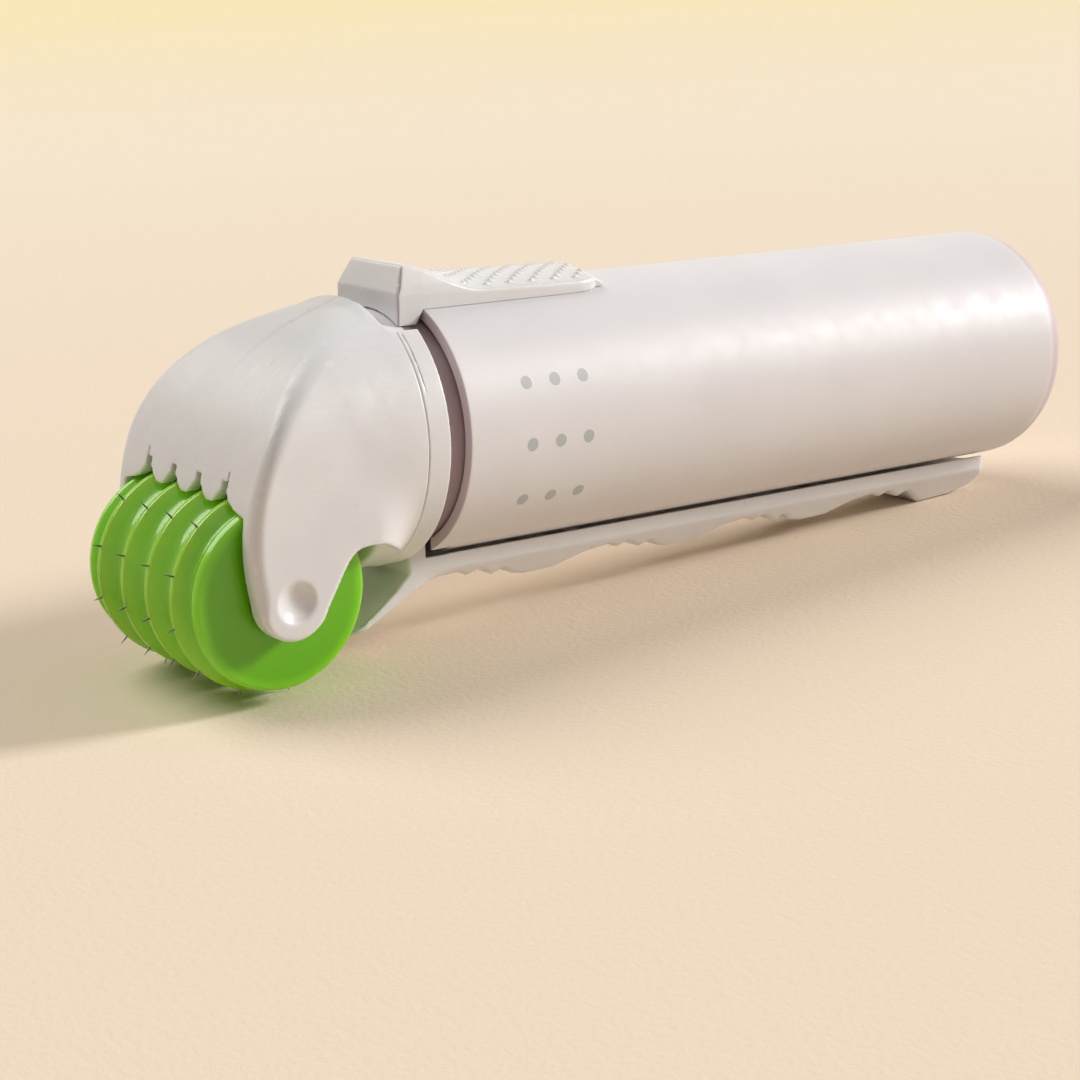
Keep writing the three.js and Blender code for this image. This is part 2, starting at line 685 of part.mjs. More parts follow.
function needleRing(place) {
  const seated = grooveRadius - 1.4;
  const bore = hubRadius + 0.15;
  let ring = ringY(seated, bore, place - needlePlate / 2, place + needlePlate / 2, needlesPerRing);
  const half = needleWidth / 2;
  const blade = outline([
    [seated - 0.6, -half], [needleTipRadius - 0.9, -half], [needleTipRadius, 0],
    [needleTipRadius - 0.9, half], [seated - 0.6, half],
  ]);
  for (let k = 0; k < needlesPerRing; k += 1) {
    const angle = -Math.PI / 2 - restTilt - needlePhase + (k * 2 * Math.PI) / needlesPerRing;
    const needle = sideways(blade, needlePlate / 2).rotate([0, THREE.MathUtils.radToDeg(-angle), 0]);
    ring = ring.add(needle.translate([0, place, 0]));
  }
  return ring;
}

function drumHub() {
  const webInner = armInner - pipHeight - 0.9 - seatGap;
  const bore = axleRadius + 0.5;
  const counter = bushRadius + 0.15;
  const deep = webInner - bushLength - 0.2;
  return turnedY([
    [-webInner, counter], [-webInner, hubRadius], [webInner, hubRadius], [webInner, counter],
    [deep, counter], [deep, bore], [-deep, bore], [-deep, counter], [-webInner, counter],
  ], smallRound);
}

function bush(hand) {
  const segments = smallRound;
  const outerEnd = armInner - pipHeight - 0.9 - seatGap;
  const bore = (axleRadius + spinGap) / Math.cos(Math.PI / segments);
  const ring = ringY(bushRadius, bore, outerEnd - bushLength, outerEnd, segments);
  return hand < 0 ? ring.mirror([0, 1, 0]) : ring;
}

// ---- Vial, its cup, spike, nozzle and springs ----------------------------------------------------

function vialGlass() {
  const neck = crimpRadius - 1.2;
  const throat = 6.3;
  const shoulder = crimpFront - crimpLength;
  const mouth = flangeRear - seatGap;
  const body = mouth - 2.5;
  return turnedX([
    [vialRear, 0], [vialRear, vialRadius - 1.5], [vialRear + 1.5, vialRadius], [body, vialRadius],
    [mouth, cupBore - 0.5], [shoulder - 0.4, neck - 1], [shoulder + 1.6, neck - 1],
    [shoulder + 2, neck], [crimpFront - 3.2, neck], [crimpFront - 3.2, throat],
    [shoulder - 0.4, throat], [mouth, throat + 1.5], [body - 0.5, vialRadius - vialWall],
    [vialRear + 2.2, vialRadius - vialWall], [vialRear + vialWall, vialRadius - 2.6],
    [vialRear + vialWall, 0],
  ], mediumRound);
}

function vialStopper() {
  const hole = spikeRadius + 0.2;
  const seat = crimpFront - 2.9;
  return turnedX([
    [seat - 5.2, hole], [seat - 5.2, 5.4], [seat, 6], [seat, crimpRadius - 1.3],
    [crimpFront - 0.7, crimpRadius - 1.3], [crimpFront - 0.7, hole], [seat - 5.2, hole],
  ], smallRound);
}

function crimpCap() {
  const inner = crimpRadius - 0.6;
  const skirt = crimpFront - 5.3;
  return turnedX([
    [crimpFront - 0.4, 4], [crimpFront, 4.4],
    [crimpFront, crimpRadius - 0.4], [crimpFront - 0.4, crimpRadius],
    [skirt, crimpRadius], [skirt, inner], [crimpFront - 0.4, inner], [crimpFront - 0.4, 4],
  ], mediumRound);
}

function vialCup() {
  return turnedX([
    [flangeRear, cupBore], [flangeRear, neckRadius], [cupRear, neckRadius], [cupRear, cupRadius],
    [cupFront, cupRadius], [cupFront, spikeRadius + 1.5], [cupFront - cupFloor, spikeRadius + 1.5],
    [cupFront - cupFloor, cupBore], [flangeRear, cupBore],
  ], mediumRound);
}

function driveRing() {
  const rear = driveRingFront - driveRingWidth;
  return ringX(tubeBore - 0.2, vialRadius + slideGap, rear, driveRingFront, mediumRound);
}

function follower() {
  const rim = tubeBore - slideGap;
  const rear = followerFront - followerRim;
  const floor = followerFront - followerWall;
  return turnedX([
    [followerFront, 0], [followerFront, rim], [rear, rim], [rear, rim - 1], [floor, rim - 1], [floor, 0],
  ], mediumRound);
}

function piercingSpike() {
  const flangeFront = bulkheadRear - 1.3;
  return turnedX([
    [crimpFront - 12, spikeBore], [crimpFront - 10.5, spikeRadius], [flangeFront - 0.8, spikeRadius],
    [flangeFront - 0.8, spikeFlange], [flangeFront, spikeFlange], [flangeFront, spikeRadius],
    [collarFront - 0.6, spikeRadius], [collarFront - 0.6, spikeBore], [crimpFront - 12, spikeBore],
  ], smallRound);
}

function spikeSeal() {
  return ringX(spikeFlange, spikeRadius + 0.3, bulkheadRear - 1, bulkheadRear - seatGap, smallRound);
}

// The spout over the drum, turned down from the middle of the bulkhead.
function dripNozzle() {
  const base = turnedX([
    [collarFront - 0.2, 1.1], [collarFront - 0.2, 1.9], [collarFront + 0.3, 1.9], [collarFront + 0.3, 4.2],
    [collarFront + 1.4, 4.2], [collarFront + 1.9, 3], [collarFront + 2.6, 2.6], [collarFront + 2.6, 1.1],
    [collarFront - 0.2, 1.1],
  ], smallRound);
  const spout = turnedX([[-0.6, 0], [-0.6, 2.4], [6.2, 1.5], [6.2, 0]], smallRound);
  const canal = rodX(0.7, -4, 8, 8);
  const turn = (piece) => piece.rotate([0, 32, 0]).translate([collarFront + 2, 0, 0]);
  return base.add(turn(spout)).subtract(turn(canal));
}

// ---- Assembly ------------------------------------------------------------------------------------

const whitePlastic = { color: 0xe9e3e4, roughness: 0.42, metalness: 0 };
const pearlPlastic = { color: 0xd9d4d9, roughness: 0.34, metalness: 0.15 };
const greenPlastic = { color: 0x6fb51c, roughness: 0.22, metalness: 0 };
const steel = { color: 0x8d9093, roughness: 0.3, metalness: 1 };
const aluminium = { color: 0xb9bcc0, roughness: 0.35, metalness: 1 };
const rubber = { color: 0x5d6064, roughness: 0.8, metalness: 0 };
const silicone = { color: 0xd8d9d2, roughness: 0.6, metalness: 0 };
const acetal = { color: 0xf1efe8, roughness: 0.45, metalness: 0 };
const glass = { color: 0xdfe9ea, roughness: 0.08, metalness: 0 };

const model = new THREE.Group();
const drum = new THREE.Group();
drum.position.set(axleForward, 0, -axleDrop);
model.add(drum);

model.add(named('hood_shell', hoodShell(), whitePlastic));
model.add(named('neck_collar', neckCollar(), whitePlastic));
model.add(named('grip_bar', gripBar(), whitePlastic));
model.add(named('handle_tube', handleTube(), pearlPlastic));
model.add(named('thumb_pad', thumbPad(), whitePlastic));
model.add(named('neck_o_ring', neckSeal(), rubber));
model.add(named('drive_ring', driveRing(), acetal));
model.add(named('vial_cup', vialCup(), acetal));
model.add(named('vial_glass', vialGlass(), glass));
model.add(named('vial_stopper', vialStopper(), rubber));
model.add(named('crimp_cap', crimpCap(), aluminium));
model.add(named('piercing_spike', piercingSpike(), steel));
model.add(named('spike_seal', spikeSeal(), silicone));
model.add(named('drip_nozzle', dripNozzle(), silicone));
const returnSpringFrom = cupFront + seatGap;
const returnSpringTo = bulkheadRear - seatGap;
const returnSpring = spring(returnSpringRadius, returnSpringFrom, returnSpringTo, returnSpringTurns, 10);
model.add(named('return_spring', returnSpring, steel));
model.add(named('follower_cup', follower(), acetal));
const holdSpringFrom = handleBottom + seatGap;
const holdSpringTo = followerFront - followerWall - seatGap;
const holdSpring = spring(holdSpringRadius, holdSpringFrom, holdSpringTo, holdSpringTurns, 10);
model.add(named('hold_spring', holdSpring, steel));

const axleEnd = armInner + 0.7;
drum.add(named('axle_pin', rodY(axleRadius, -axleEnd, axleEnd, smallRound), steel));
drum.add(named('drum_hub', drumHub(), greenPlastic));
drum.add(named('hub_bush_near', bush(1), acetal));
drum.add(named('hub_bush_far', bush(-1), acetal));
drum.add(named('drum_end_near', endDisc(1), greenPlastic));
drum.add(named('drum_end_far', endDisc(-1), greenPlastic));
const places = ringPlaces();
places.forEach((place, k) => drum.add(named(`needle_ring_${k + 1}`, needleRing(place), steel)));
for (let k = 0; k + 1 < ringCount; k += 1) {
  drum.add(named(`drum_disc_${k + 1}`, middleDisc((places[k] + places[k + 1]) / 2), greenPlastic));
}

// Tip the roller onto its rest and put the middle of its footprint at the origin.
model.rotation.y = -restTilt;
const assembly = new THREE.Group();
assembly.add(model);
assembly.updateMatrixWorld(true);
const bounds = new THREE.Box3().setFromObject(assembly, true);
const middle = bounds.getCenter(new THREE.Vector3());
model.position.set(-middle.x, -middle.y, -bounds.min.z);

export default assembly;
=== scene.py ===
"""Looks of a hand-held derma roller with a vial in its handle.

Pieces are modelled in millimetres in the handle's own frame: x runs along the handle towards the head
and is 0 at the tube's front rim, y = 0 is the mirror plane, z is up, and the tube's axis is at z = 0.
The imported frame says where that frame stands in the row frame.
"""

import json
from math import asin, atan2, cos, degrees, hypot, pi, radians, sin, tan

import bmesh
import bpy
import numpy as np
from mathutils import Matrix, Vector


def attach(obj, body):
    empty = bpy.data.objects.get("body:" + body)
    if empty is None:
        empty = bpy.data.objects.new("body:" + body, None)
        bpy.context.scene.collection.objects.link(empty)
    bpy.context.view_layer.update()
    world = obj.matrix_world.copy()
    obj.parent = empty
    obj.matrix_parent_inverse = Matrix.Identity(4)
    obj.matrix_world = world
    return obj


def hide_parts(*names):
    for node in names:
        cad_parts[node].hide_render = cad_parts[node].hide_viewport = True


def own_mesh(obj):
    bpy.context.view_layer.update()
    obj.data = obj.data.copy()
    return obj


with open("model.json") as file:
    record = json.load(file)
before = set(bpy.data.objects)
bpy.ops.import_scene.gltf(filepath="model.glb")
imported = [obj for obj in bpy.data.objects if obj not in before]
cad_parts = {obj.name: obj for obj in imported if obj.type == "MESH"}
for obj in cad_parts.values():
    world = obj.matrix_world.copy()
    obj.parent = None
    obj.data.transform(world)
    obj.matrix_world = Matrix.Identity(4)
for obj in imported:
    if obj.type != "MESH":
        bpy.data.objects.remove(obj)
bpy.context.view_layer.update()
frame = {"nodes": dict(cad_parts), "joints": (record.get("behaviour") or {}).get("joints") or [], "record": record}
bodies = frame["record"]["behaviour"]["bodies"]
body_of = {node: body for body, nodes in bodies.items() for node in nodes}

MM = 0.001


# ---- The handle's frame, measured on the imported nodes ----

def joint(name):
    return next(j for j in frame["joints"] if j["name"] == name)


slide_axis = Vector(joint("dose_slide")["axis"])
tilt = atan2(slide_axis.z, slide_axis.x)
turn = Matrix.Rotation(-tilt, 4, "Y")


def turned_points(node):
    """A node's points in millimetres, in the handle's directions."""
    mesh = frame["nodes"][node].data
    points = np.empty(3 * len(mesh.vertices))
    mesh.vertices.foreach_get("co", points)
    return points.reshape(-1, 3) @ np.array(turn.to_3x3()) / MM


tube_points = turned_points("handle_tube")
rim_x = tube_points[:, 0].max()
axis_z = (tube_points[:, 2].max() + tube_points[:, 2].min()) / 2
place = turn @ Matrix.Translation(Vector((rim_x, 0, axis_z)) * MM) @ Matrix.Scale(MM, 4)
offset = np.array((rim_x, 0, axis_z))


def box(node):
    points = turned_points(node) - offset
    return points.min(0), points.max(0)


tube_low, tube_high = box("handle_tube")
collar_low, collar_high = box("neck_collar")
hood_low, hood_high = box("hood_shell")
bar_low, bar_high = box("grip_bar")
pad_low, pad_high = box("thumb_pad")
ring_points = turned_points("needle_ring_1") - offset
end_low, end_high = box("drum_end_near")

tube_radius = tube_high[1]
collar_radius = collar_high[1]
neck_rear = collar_low[0]
hood_rear = hood_low[0]
hood_front = hood_high[0]
axle_x = (end_high[0] + end_low[0]) / 2
axle_z = (end_high[2] + end_low[2]) / 2
drum_radius = (end_high[0] - end_low[0]) / 2
drum_half = end_high[1]
tip_radius = np.hypot(ring_points[:, 0] - axle_x, ring_points[:, 2] - axle_z).max()
ring_pitch = box("needle_ring_2")[0][1] - ring_points[:, 1].min()
ring_places = [(k - 1.5) * ring_pitch for k in range(4)]


# ---- Solids as distance fields: negative inside, in millimetres ----

def cut(a, b, r):
    """What is inside both, with the edge between them rounded to radius r."""
    return np.minimum(np.maximum(a, b), -r) + np.hypot(np.maximum(a + r, 0), np.maximum(b + r, 0))


def join(a, b, r):
    """What is inside either, with the corner between them filled to radius r."""
    return np.maximum(np.minimum(a, b), r) - np.hypot(np.maximum(r - a, 0), np.maximum(r - b, 0))


def smoothstep(value, low, high):
    t = np.clip((value - low) / (high - low), 0, 1)
    return t * t * (3 - 2 * t)


def lerp(a, b, t):
    return a + (b - a) * t


def outline_field(u, v, points):
    """Signed distance in a plane to a closed outline."""
    near = np.full(np.broadcast(u, v).shape, np.inf)
    sign = np.ones(near.shape)
    for (au, av), (bu, bv) in zip(points, points[1:] + points[:1]):
        eu, ev = bu - au, bv - av
        if eu == ev == 0:
            continue
        wu, wv = u - au, v - av
        t = np.clip((wu * eu + wv * ev) / (eu * eu + ev * ev), 0, 1)
        near = np.minimum(near, (wu - eu * t) ** 2 + (wv - ev * t) ** 2)
        above, below, left = v >= av, v < bv, eu * wv > ev * wu
        sign = np.where((above & below & left) | (~above & ~below & ~left), -sign, sign)
    return sign * np.sqrt(near)


most_of_side = 0.48  # the longest stretch that a fillet may take of a side


def rounded(corners, closed=True, steps=5):
    """Points of an outline whose corners are (u, v) or (u, v, fillet radius)."""
    points = []
    count = len(corners)
    for i, corner in enumerate(corners):
        here = Vector(corner[:2])
        radius = corner[2] if len(corner) > 2 else 0
        if radius == 0 or (not closed and i in (0, count - 1)):
            points.append((here.x, here.y))
            continue
        back = Vector(corners[i - 1][:2]) - here
        on = Vector(corners[(i + 1) % count][:2]) - here
        half = back.angle(on) / 2
        reach = min(radius / tan(half), most_of_side * back.length, most_of_side * on.length)
        radius = reach * tan(half)
        middle = here + (back.normalized() + on.normalized()).normalized() * (radius / sin(half))
        start = here + back.normalized() * reach - middle
        sweep = pi - 2 * half
        side = 1 if start.cross(here + on.normalized() * reach - middle) > 0 else -1
        for k in range(steps + 1):
            a = side * sweep * k / steps
            arm = Vector((start.x * cos(a) - start.y * sin(a),
                          start.x * sin(a) + start.y * cos(a)))
            points.append(tuple(middle + arm))
    return points


def spline(points, steps=6):
    """A smooth line through the points."""
    line = []
    ends = [points[0]] + list(points) + [points[-1]]
    for p0, p1, p2, p3 in zip(ends, ends[1:], ends[2:], ends[3:]):
        for k in range(steps):
            t = k / steps
            line.append(tuple(
                0.5 * (2 * b + (c - a) * t + (2 * a - 5 * b + 4 * c - d) * t * t
                       + (3 * b - a - 3 * c + d) * t ** 3)
                for a, b, c, d in zip(p0, p1, p2, p3)))
    return line + [tuple(points[-1])]


def arc(centre, radius, start, stop, steps):
    """Points of an arc, its angles in degrees from +u towards +v."""
    angles = [radians(lerp(start, stop, k / steps)) for k in range(steps + 1)]
    return [(centre[0] + radius * cos(a), centre[1] + radius * sin(a)) for a in angles]


def grid_line(low, high, step, fine=()):
    """Grid places from low to high, closer together in each fine stretch (from, to, step)."""
    places = list(np.arange(low, high + step, step))
    for start, stop, close in fine:
        places = [p for p in places if not start - close / 2 < p < stop + close / 2]
        places += list(np.arange(start, stop + close / 4, close))
    return np.array(sorted(places))


def skin(field, *lines):
    """Vertices and quads of the surface where the field is zero, by surface nets."""
    shape = tuple(len(line) for line in lines)
    values = np.broadcast_to(field(*np.meshgrid(*lines, indexing="ij", sparse=True)), shape)
    inside = values < 0
    corners = [(a, b, c) for a in (0, 1) for b in (0, 1) for c in (0, 1)]
    nx, ny, nz = [size - 1 for size in shape]
    count = sum(inside[a:a + nx, b:b + ny, c:c + nz].astype(np.int8) for a, b, c in corners)
    cells = (count > 0) & (count < len(corners))
    number = np.full(cells.shape, -1, np.int64)
    number[cells] = np.arange(cells.sum())
    at = np.stack(np.nonzero(cells), 1)
    step = np.eye(3, dtype=int)
    total = np.zeros((len(at), 3))
    hits = np.zeros(len(at))
    for axis in range(3):
        for start in [at + corner for corner in corners if corner[axis] == 0]:
            stop = start + step[axis]
            v0, v1 = values[tuple(start.T)], values[tuple(stop.T)]
            crossed = (v0 < 0) != (v1 < 0)
            t = np.where(crossed, v0 / np.where(crossed, v0 - v1, 1), 0)
            point = np.stack([line[places] for line, places in zip(lines, start.T)], 1)
            point[:, axis] += t * (lines[axis][stop[:, axis]] - lines[axis][start[:, axis]])
            total[crossed] += point[crossed]
            hits[crossed] += 1
    points = total / hits[:, None]
    quads = []
    for axis in range(3):
        u, v = (axis + 1) % 3, (axis + 2) % 3
        low = np.take(inside, range(shape[axis] - 1), axis)
        high = np.take(inside, range(1, shape[axis]), axis)
        for wanted in (True, False):
            edges = np.stack(np.nonzero((low != high) & (low == wanted)), 1)
            keep = (edges[:, u] > 0) & (edges[:, u] < shape[u] - 1)
            keep &= (edges[:, v] > 0) & (edges[:, v] < shape[v] - 1)
            edges = edges[keep]
            ring = [number[tuple((edges - du * step[u] - dv * step[v]).T)]
                    for du, dv in ((1, 1), (0, 1), (0, 0), (1, 0))]
            quads.append(np.stack(ring if wanted else ring[::-1], 1))
    return settle(field, points), np.concatenate(quads)


def settle(field, points, step=0.02, furthest=0.2, flattest=0.25):
    """Moves points onto the surface, along the field's slope there."""
    for _ in range(2):
        here = field(*points.T)
        slope = np.stack([field(*(points + step * np.eye(3)[k]).T) - here for k in range(3)], 1) / step
        steepness = np.maximum((slope ** 2).sum(1), flattest)
        points = points - np.clip(here / steepness, -furthest, furthest)[:, None] * slope
    return points


# ---- Meshes ----

def add_object(name, data):
    thing = bpy.data.objects.new(name, data)
    bpy.context.scene.collection.objects.link(thing)
    return thing


def add_piece(node, kind, points, faces, look, crease=35):
    """A smooth-shaded piece in a CAD node's place, from points in the handle's frame, in millimetres."""
    mesh = bpy.data.meshes.new(f"{node}_{kind}")
    mesh.from_pydata([tuple(p) for p in points], [], [tuple(int(i) for i in f) for f in faces])
    mesh.transform(place)
    mesh.validate()
    work = bmesh.new()
    work.from_mesh(mesh)
    bmesh.ops.recalc_face_normals(work, faces=work.faces)
    work.to_mesh(mesh)
    work.free()
    mesh.shade_smooth()
    mesh.set_sharp_from_angle(angle=radians(crease))
    piece = add_object(mesh.name, mesh)
    mesh.materials.append(look.material)
    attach(piece, body_of[node])
    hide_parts(node)
    return piece


def add_moulded(node, look, field, *lines):
    """The piece whose skin is where the field is zero, sampled on the grid lines."""
    points, faces = skin(field, *lines)
    add_piece(node, "moulded", points, faces, look, 60)


def supported(profile, reach=0.1):
    """The profile with a point close to both ends of each long straight stretch, which keeps it flat."""
    line = []
    for (a, r), (b, s) in zip(profile, profile[1:]):
        line.append((a, r))
        length = hypot(b - a, s - r)
        if length > 5 * reach:
            for t in (reach / length, 1 - reach / length):
                line.append((lerp(a, b, t), lerp(r, s, t)))
    return line + [profile[-1]]


def quad(first, second, k):
    """The face between two rings at place k, without doubled corners."""
    m = (k + 1) % len(first)
    face = [first[k], first[m], second[m], second[k]]
    return [i for j, i in enumerate(face) if i != face[j - 1]]


def lathe(profile, sides, centre=(0.0, 0.0, 0.0), axis="x", closed=False):
    """Points and faces of a body turned from (along, radius) pairs about an axis through centre.

    A closed profile makes a ring. An open one starts and ends on the axis.
    """
    line = supported(profile + profile[:1])[:-1] if closed else supported(profile)
    area = sum(a * s - b * r for (a, r), (b, s) in zip(line, line[1:] + line[:1]))
    if area > 0:
        line.reverse()
    if axis == "y":
        line.reverse()
    points, rings = [], []
    for along, radius in line:
        if radius < 1e-6:
            rings.append([len(points)] * sides)
            spots = [(along, 0, 0)]
        else:
            rings.append(list(range(len(points), len(points) + sides)))
            angles = [2 * pi * k / sides for k in range(sides)]
            spots = [(along, radius * cos(a), radius * sin(a)) for a in angles]
        for s, c, d in spots:
            point = (s, c, d) if axis == "x" else (c, s, d)
            points.append([centre[i] + point[i] for i in range(3)])
    pairs = zip(rings, rings[1:] + rings[:1] if closed else rings[1:])
    faces = [quad(first, second, k) for first, second in pairs for k in range(sides)]
    return points, [face for face in faces if len(face) > 2]


def merged(parts):
    points, faces = [], []
    for more_points, more_faces in parts:
        faces += [[i + len(points) for i in face] for face in more_faces]
        points += list(more_points)
    return points, faces


# ---- Hood ----

hood_side = collar_radius - 0.07
arm_inner = drum_half + 0.7
hood_wall = 2.0
front_wall = 1.6
front_round = 1.5  # between the front sheet and the sides
arm_end = (axle_x + 0.1, axle_z - 0.05)
arm_end_radius = 4.15
brow_slope = radians(21.8)
brow_start = hood_rear + 1.15
arc_z = axle_z + 5.85
arc_radius = ((brow_start - hood_front) * sin(brow_slope)
              + (collar_radius - arc_z) * cos(brow_slope)) / (1 - sin(brow_slope))
arc_x = hood_front - arc_radius
comb_mouth = axle_z + drum_radius + 0.42  # height of the slots' mouths
comb_drop = 1.5  # from there down to the teeth's tips
notch_half = pad_high[1] + 2.7
slot_half = 0.5
tooth_tip = 0.75  # half the width of a tooth's blunt end
nick_half = 0.14
pip_radius = 3
pin_bore = 1.1
dimple_radius = 2.3
dimple_depth = 1
hood_sinks = [(14.5, 1.5, 9, 0.13), (11, -4, 7, 0.11)]  # x, z, spread and depth of each, in the sides

# From the back of the arms up over the drum's rear and down to the collar
behind_axle = [(-3.85, -1.3), (-4.6, 0), (-5.35, 1.3), (-5.95, 2.35), (-6.5, 3.2), (-7.1, 3.92),
               (-8.05, 4.5), (-9.5, 4.72), (-11.0, 4.6)]
before_collar = [(4.5, 4.05), (2.6, 3.1), (1.1, 2.3), (-1, 1.2)]
waist = spline([(axle_x + u, axle_z + v) for u, v in behind_axle]
               + [(hood_rear + u, axle_z + v) for u, v in before_collar])
front_lean = 8  # degrees the arms' front edge leans, below the front's arc


def front_line(inset):
    """The brow's slope and the front's arc, from the back of the hood down to the furthest front."""
    radius = arc_radius - inset
    top = 90 - degrees(brow_slope)
    back = hood_rear - 1
    curve = arc((arc_x, arc_z), radius, top, -front_lean, 44)
    return [(back, curve[0][1] + (curve[0][0] - back) * tan(brow_slope))] + curve


hood_outline = front_line(0) + arc(arm_end, arm_end_radius, -front_lean, -150, 24) + waist
hollow_floor = axle_z - 20
hollow_outline = front_line(front_wall) + [
    (hood_front - front_wall, hollow_floor), (hood_rear - 1, hollow_floor)]

crest = drum_radius
valley = crest - 1.4
drum_line = [
    (0, crest - 1.4), (0.9, crest - 1.3), (2.35, crest - 0.1), (2.75, crest), (3.15, crest - 0.1),
    (4.9, crest - 1.3), (6.0, crest - 1.3), (7.8, crest - 0.1), (8.2, crest), (8.6, crest - 0.1),
    (9.7, crest - 1.3), (10.4, crest - 1.3), (11.3, crest - 0.62), (drum_half, crest - 0.85),
]
drum_outline = drum_line + [(drum_half, 0), (0, 0)]


def hood_section(x, y, z, radius, side):
    """Across the handle: round at the collar, upright-sided below the axis from the drum on."""
    flat = smoothstep(x, hood_rear, hood_rear + 6.5)
    across = np.abs(y)
    reach = np.hypot(y, z)
    return np.where(z > 0, reach, lerp(reach, across, flat)) - lerp(radius, side, flat)


def comb_edge(across):
    """Height of the comb's lower edge: a blunt tooth between each pair of slots, then out to the arms."""
    half = ring_pitch / 2
    outer = ring_places[3]
    places = [0, tooth_tip, half - slot_half, half + slot_half, ring_pitch - tooth_tip,
              ring_pitch + tooth_tip, outer - slot_half, outer + slot_half, outer + 1.4, outer + 2.5,
              outer + 3.6, arm_inner]
    drops = [1, 1, 0, 0, 1, 1, 0, 0, 0.7, 1.1, 1.35, 1.4]
    return comb_mouth - comb_drop * np.interp(across, places, drops)


def hood_field(x, y, z):
    across = np.abs(y)
    around = np.hypot(x - axle_x, z - axle_z)
    # Outside, its edges soft at the front and finer at the waist
    front = smoothstep(x, hood_rear + 0.3, hood_rear + 3)
    low = smoothstep(-z, 6, 9) * (1 - smoothstep(x, 19, 23.5))
    low = np.maximum(low, 0.85 * smoothstep(-z, 12.5, 17))
    edge = 0.2 + (front_round - 0.2) * front * (1 - low)
    solid = cut(hood_section(x, y, z, collar_radius, hood_side), outline_field(x, z, hood_outline), edge)
    solid = cut(solid, hood_rear - x, 0.16)
    # Inside: the hollow, and the room between the arms under the comb
    hollow = cut(hood_section(x, y, z, collar_radius - hood_wall, arm_inner),
                 outline_field(x, z, hollow_outline), 1.0)
    mouth = cut(cut(across - arm_inner, (z - comb_edge(across)) * 0.87, 0.4), axle_x - 12 - x, 0.3)
    solid = cut(solid, -join(hollow, mouth, 0.15), 0.14)
    solid = cut(solid, 0.3 - outline_field(across, around, drum_outline), 0.16)
    # Slots of the comb, where the needles pass, and the nick over each outer slot
    for at in ring_places:
        slot = cut(np.abs(y - at) - slot_half, around - tip_radius - 0.8, 0.2)
        solid = cut(solid, -np.maximum(slot, axle_x - x), 0.14)
    nick = cut(np.abs(across - ring_places[3] - 0.55) - nick_half, around - tip_radius - 1.7, 0.1)
    solid = cut(solid, -np.maximum(nick, axle_x - x), 0.06)
    # Notch for the thumb pad
    notch = cut(cut(across - notch_half, x - brow_start, 1.4), 2 - z, 0.3)
    solid = cut(solid, -notch, 0.18)
    # Pips for the axle, and the dimple outside each
    pip = cut(around - pip_radius, np.abs(across - arm_inner + 0.6) - 1.4, 0.3)
    solid = join(solid, pip, 0.3)
    solid = cut(solid, -np.maximum(around - pin_bore, across - arm_inner - 0.9), 0.15)
    beyond = (dimple_radius ** 2 - dimple_depth ** 2) / (2 * dimple_depth)  # how far out the ball's centre is
    dimple = np.sqrt(around ** 2 + (across - hood_side - beyond) ** 2) - beyond - dimple_depth
    solid = cut(solid, -dimple, 0.12)
    sinks = sum(depth * np.exp(-((x - at_x) ** 2 + (z - at_z) ** 2) / spread)
                for at_x, at_z, spread, depth in hood_sinks)
    return solid + sinks * smoothstep(across, 9, 14)


def make_hood(look):
    xs = grid_line(hood_rear - 0.3, hood_front + 0.3, 0.34,
                   [(hood_rear - 0.3, hood_rear + 0.35, 0.08), (hood_rear + 0.9, hood_rear + 1.5, 0.12),
                    (hood_front - 3.4, hood_front + 0.3, 0.2)])
    ys = grid_line(-hood_side - 0.4, hood_side + 0.4, 0.27, [(8.35, 8.95, 0.1), (-8.95, -8.35, 0.1)])
    zs = grid_line(hood_low[2] - 0.3, hood_high[2] + 0.3, 0.32, [(-5.2, -0.2, 0.2)])
    add_moulded("hood_shell", look, hood_field, xs, ys, zs)


# ---- Collar, neck and chin ----

neck_radius = (collar_radius - 0.37) - 1.5
collar_rear = 2.9
collar_front = hood_rear - 0.05
neck_bore = neck_radius - 1.4
neck_mouth = neck_radius - 0.4
bulkhead_rim = neck_radius - 1.7
groove = (-8.7, -7.3, neck_radius - 0.8)  # for the O-ring
collar_profile = rounded([
    (neck_rear, neck_bore, 0.2), (neck_rear, neck_radius, 0.5), (groove[0], neck_radius),
    (groove[0], groove[2]), (groove[1], groove[2]), (groove[1], neck_radius),
    (collar_rear, neck_radius, 0.2), (collar_rear, collar_radius, 0.2), (collar_front, collar_radius, 0.12),
    (collar_front, neck_mouth, 0.1), (collar_front + 2.2, neck_mouth, 0.3),
    (collar_front + 2.2, bulkhead_rim, 0.3), (collar_front, bulkhead_rim, 0.3),
    (collar_front, 2.2), (collar_front - 2.4, 2.2),
    (collar_front - 2.4, neck_bore, 0.6)], steps=4)
chin_top = [(x, z + 0.6) for x, z in waist if x < axle_x - 8]
chin_radius = collar_radius - 0.1
chin_outline = [(collar_front - 1, axle_z - 6), (axle_x, axle_z - 6), (axle_x, chin_top[0][1])] + chin_top


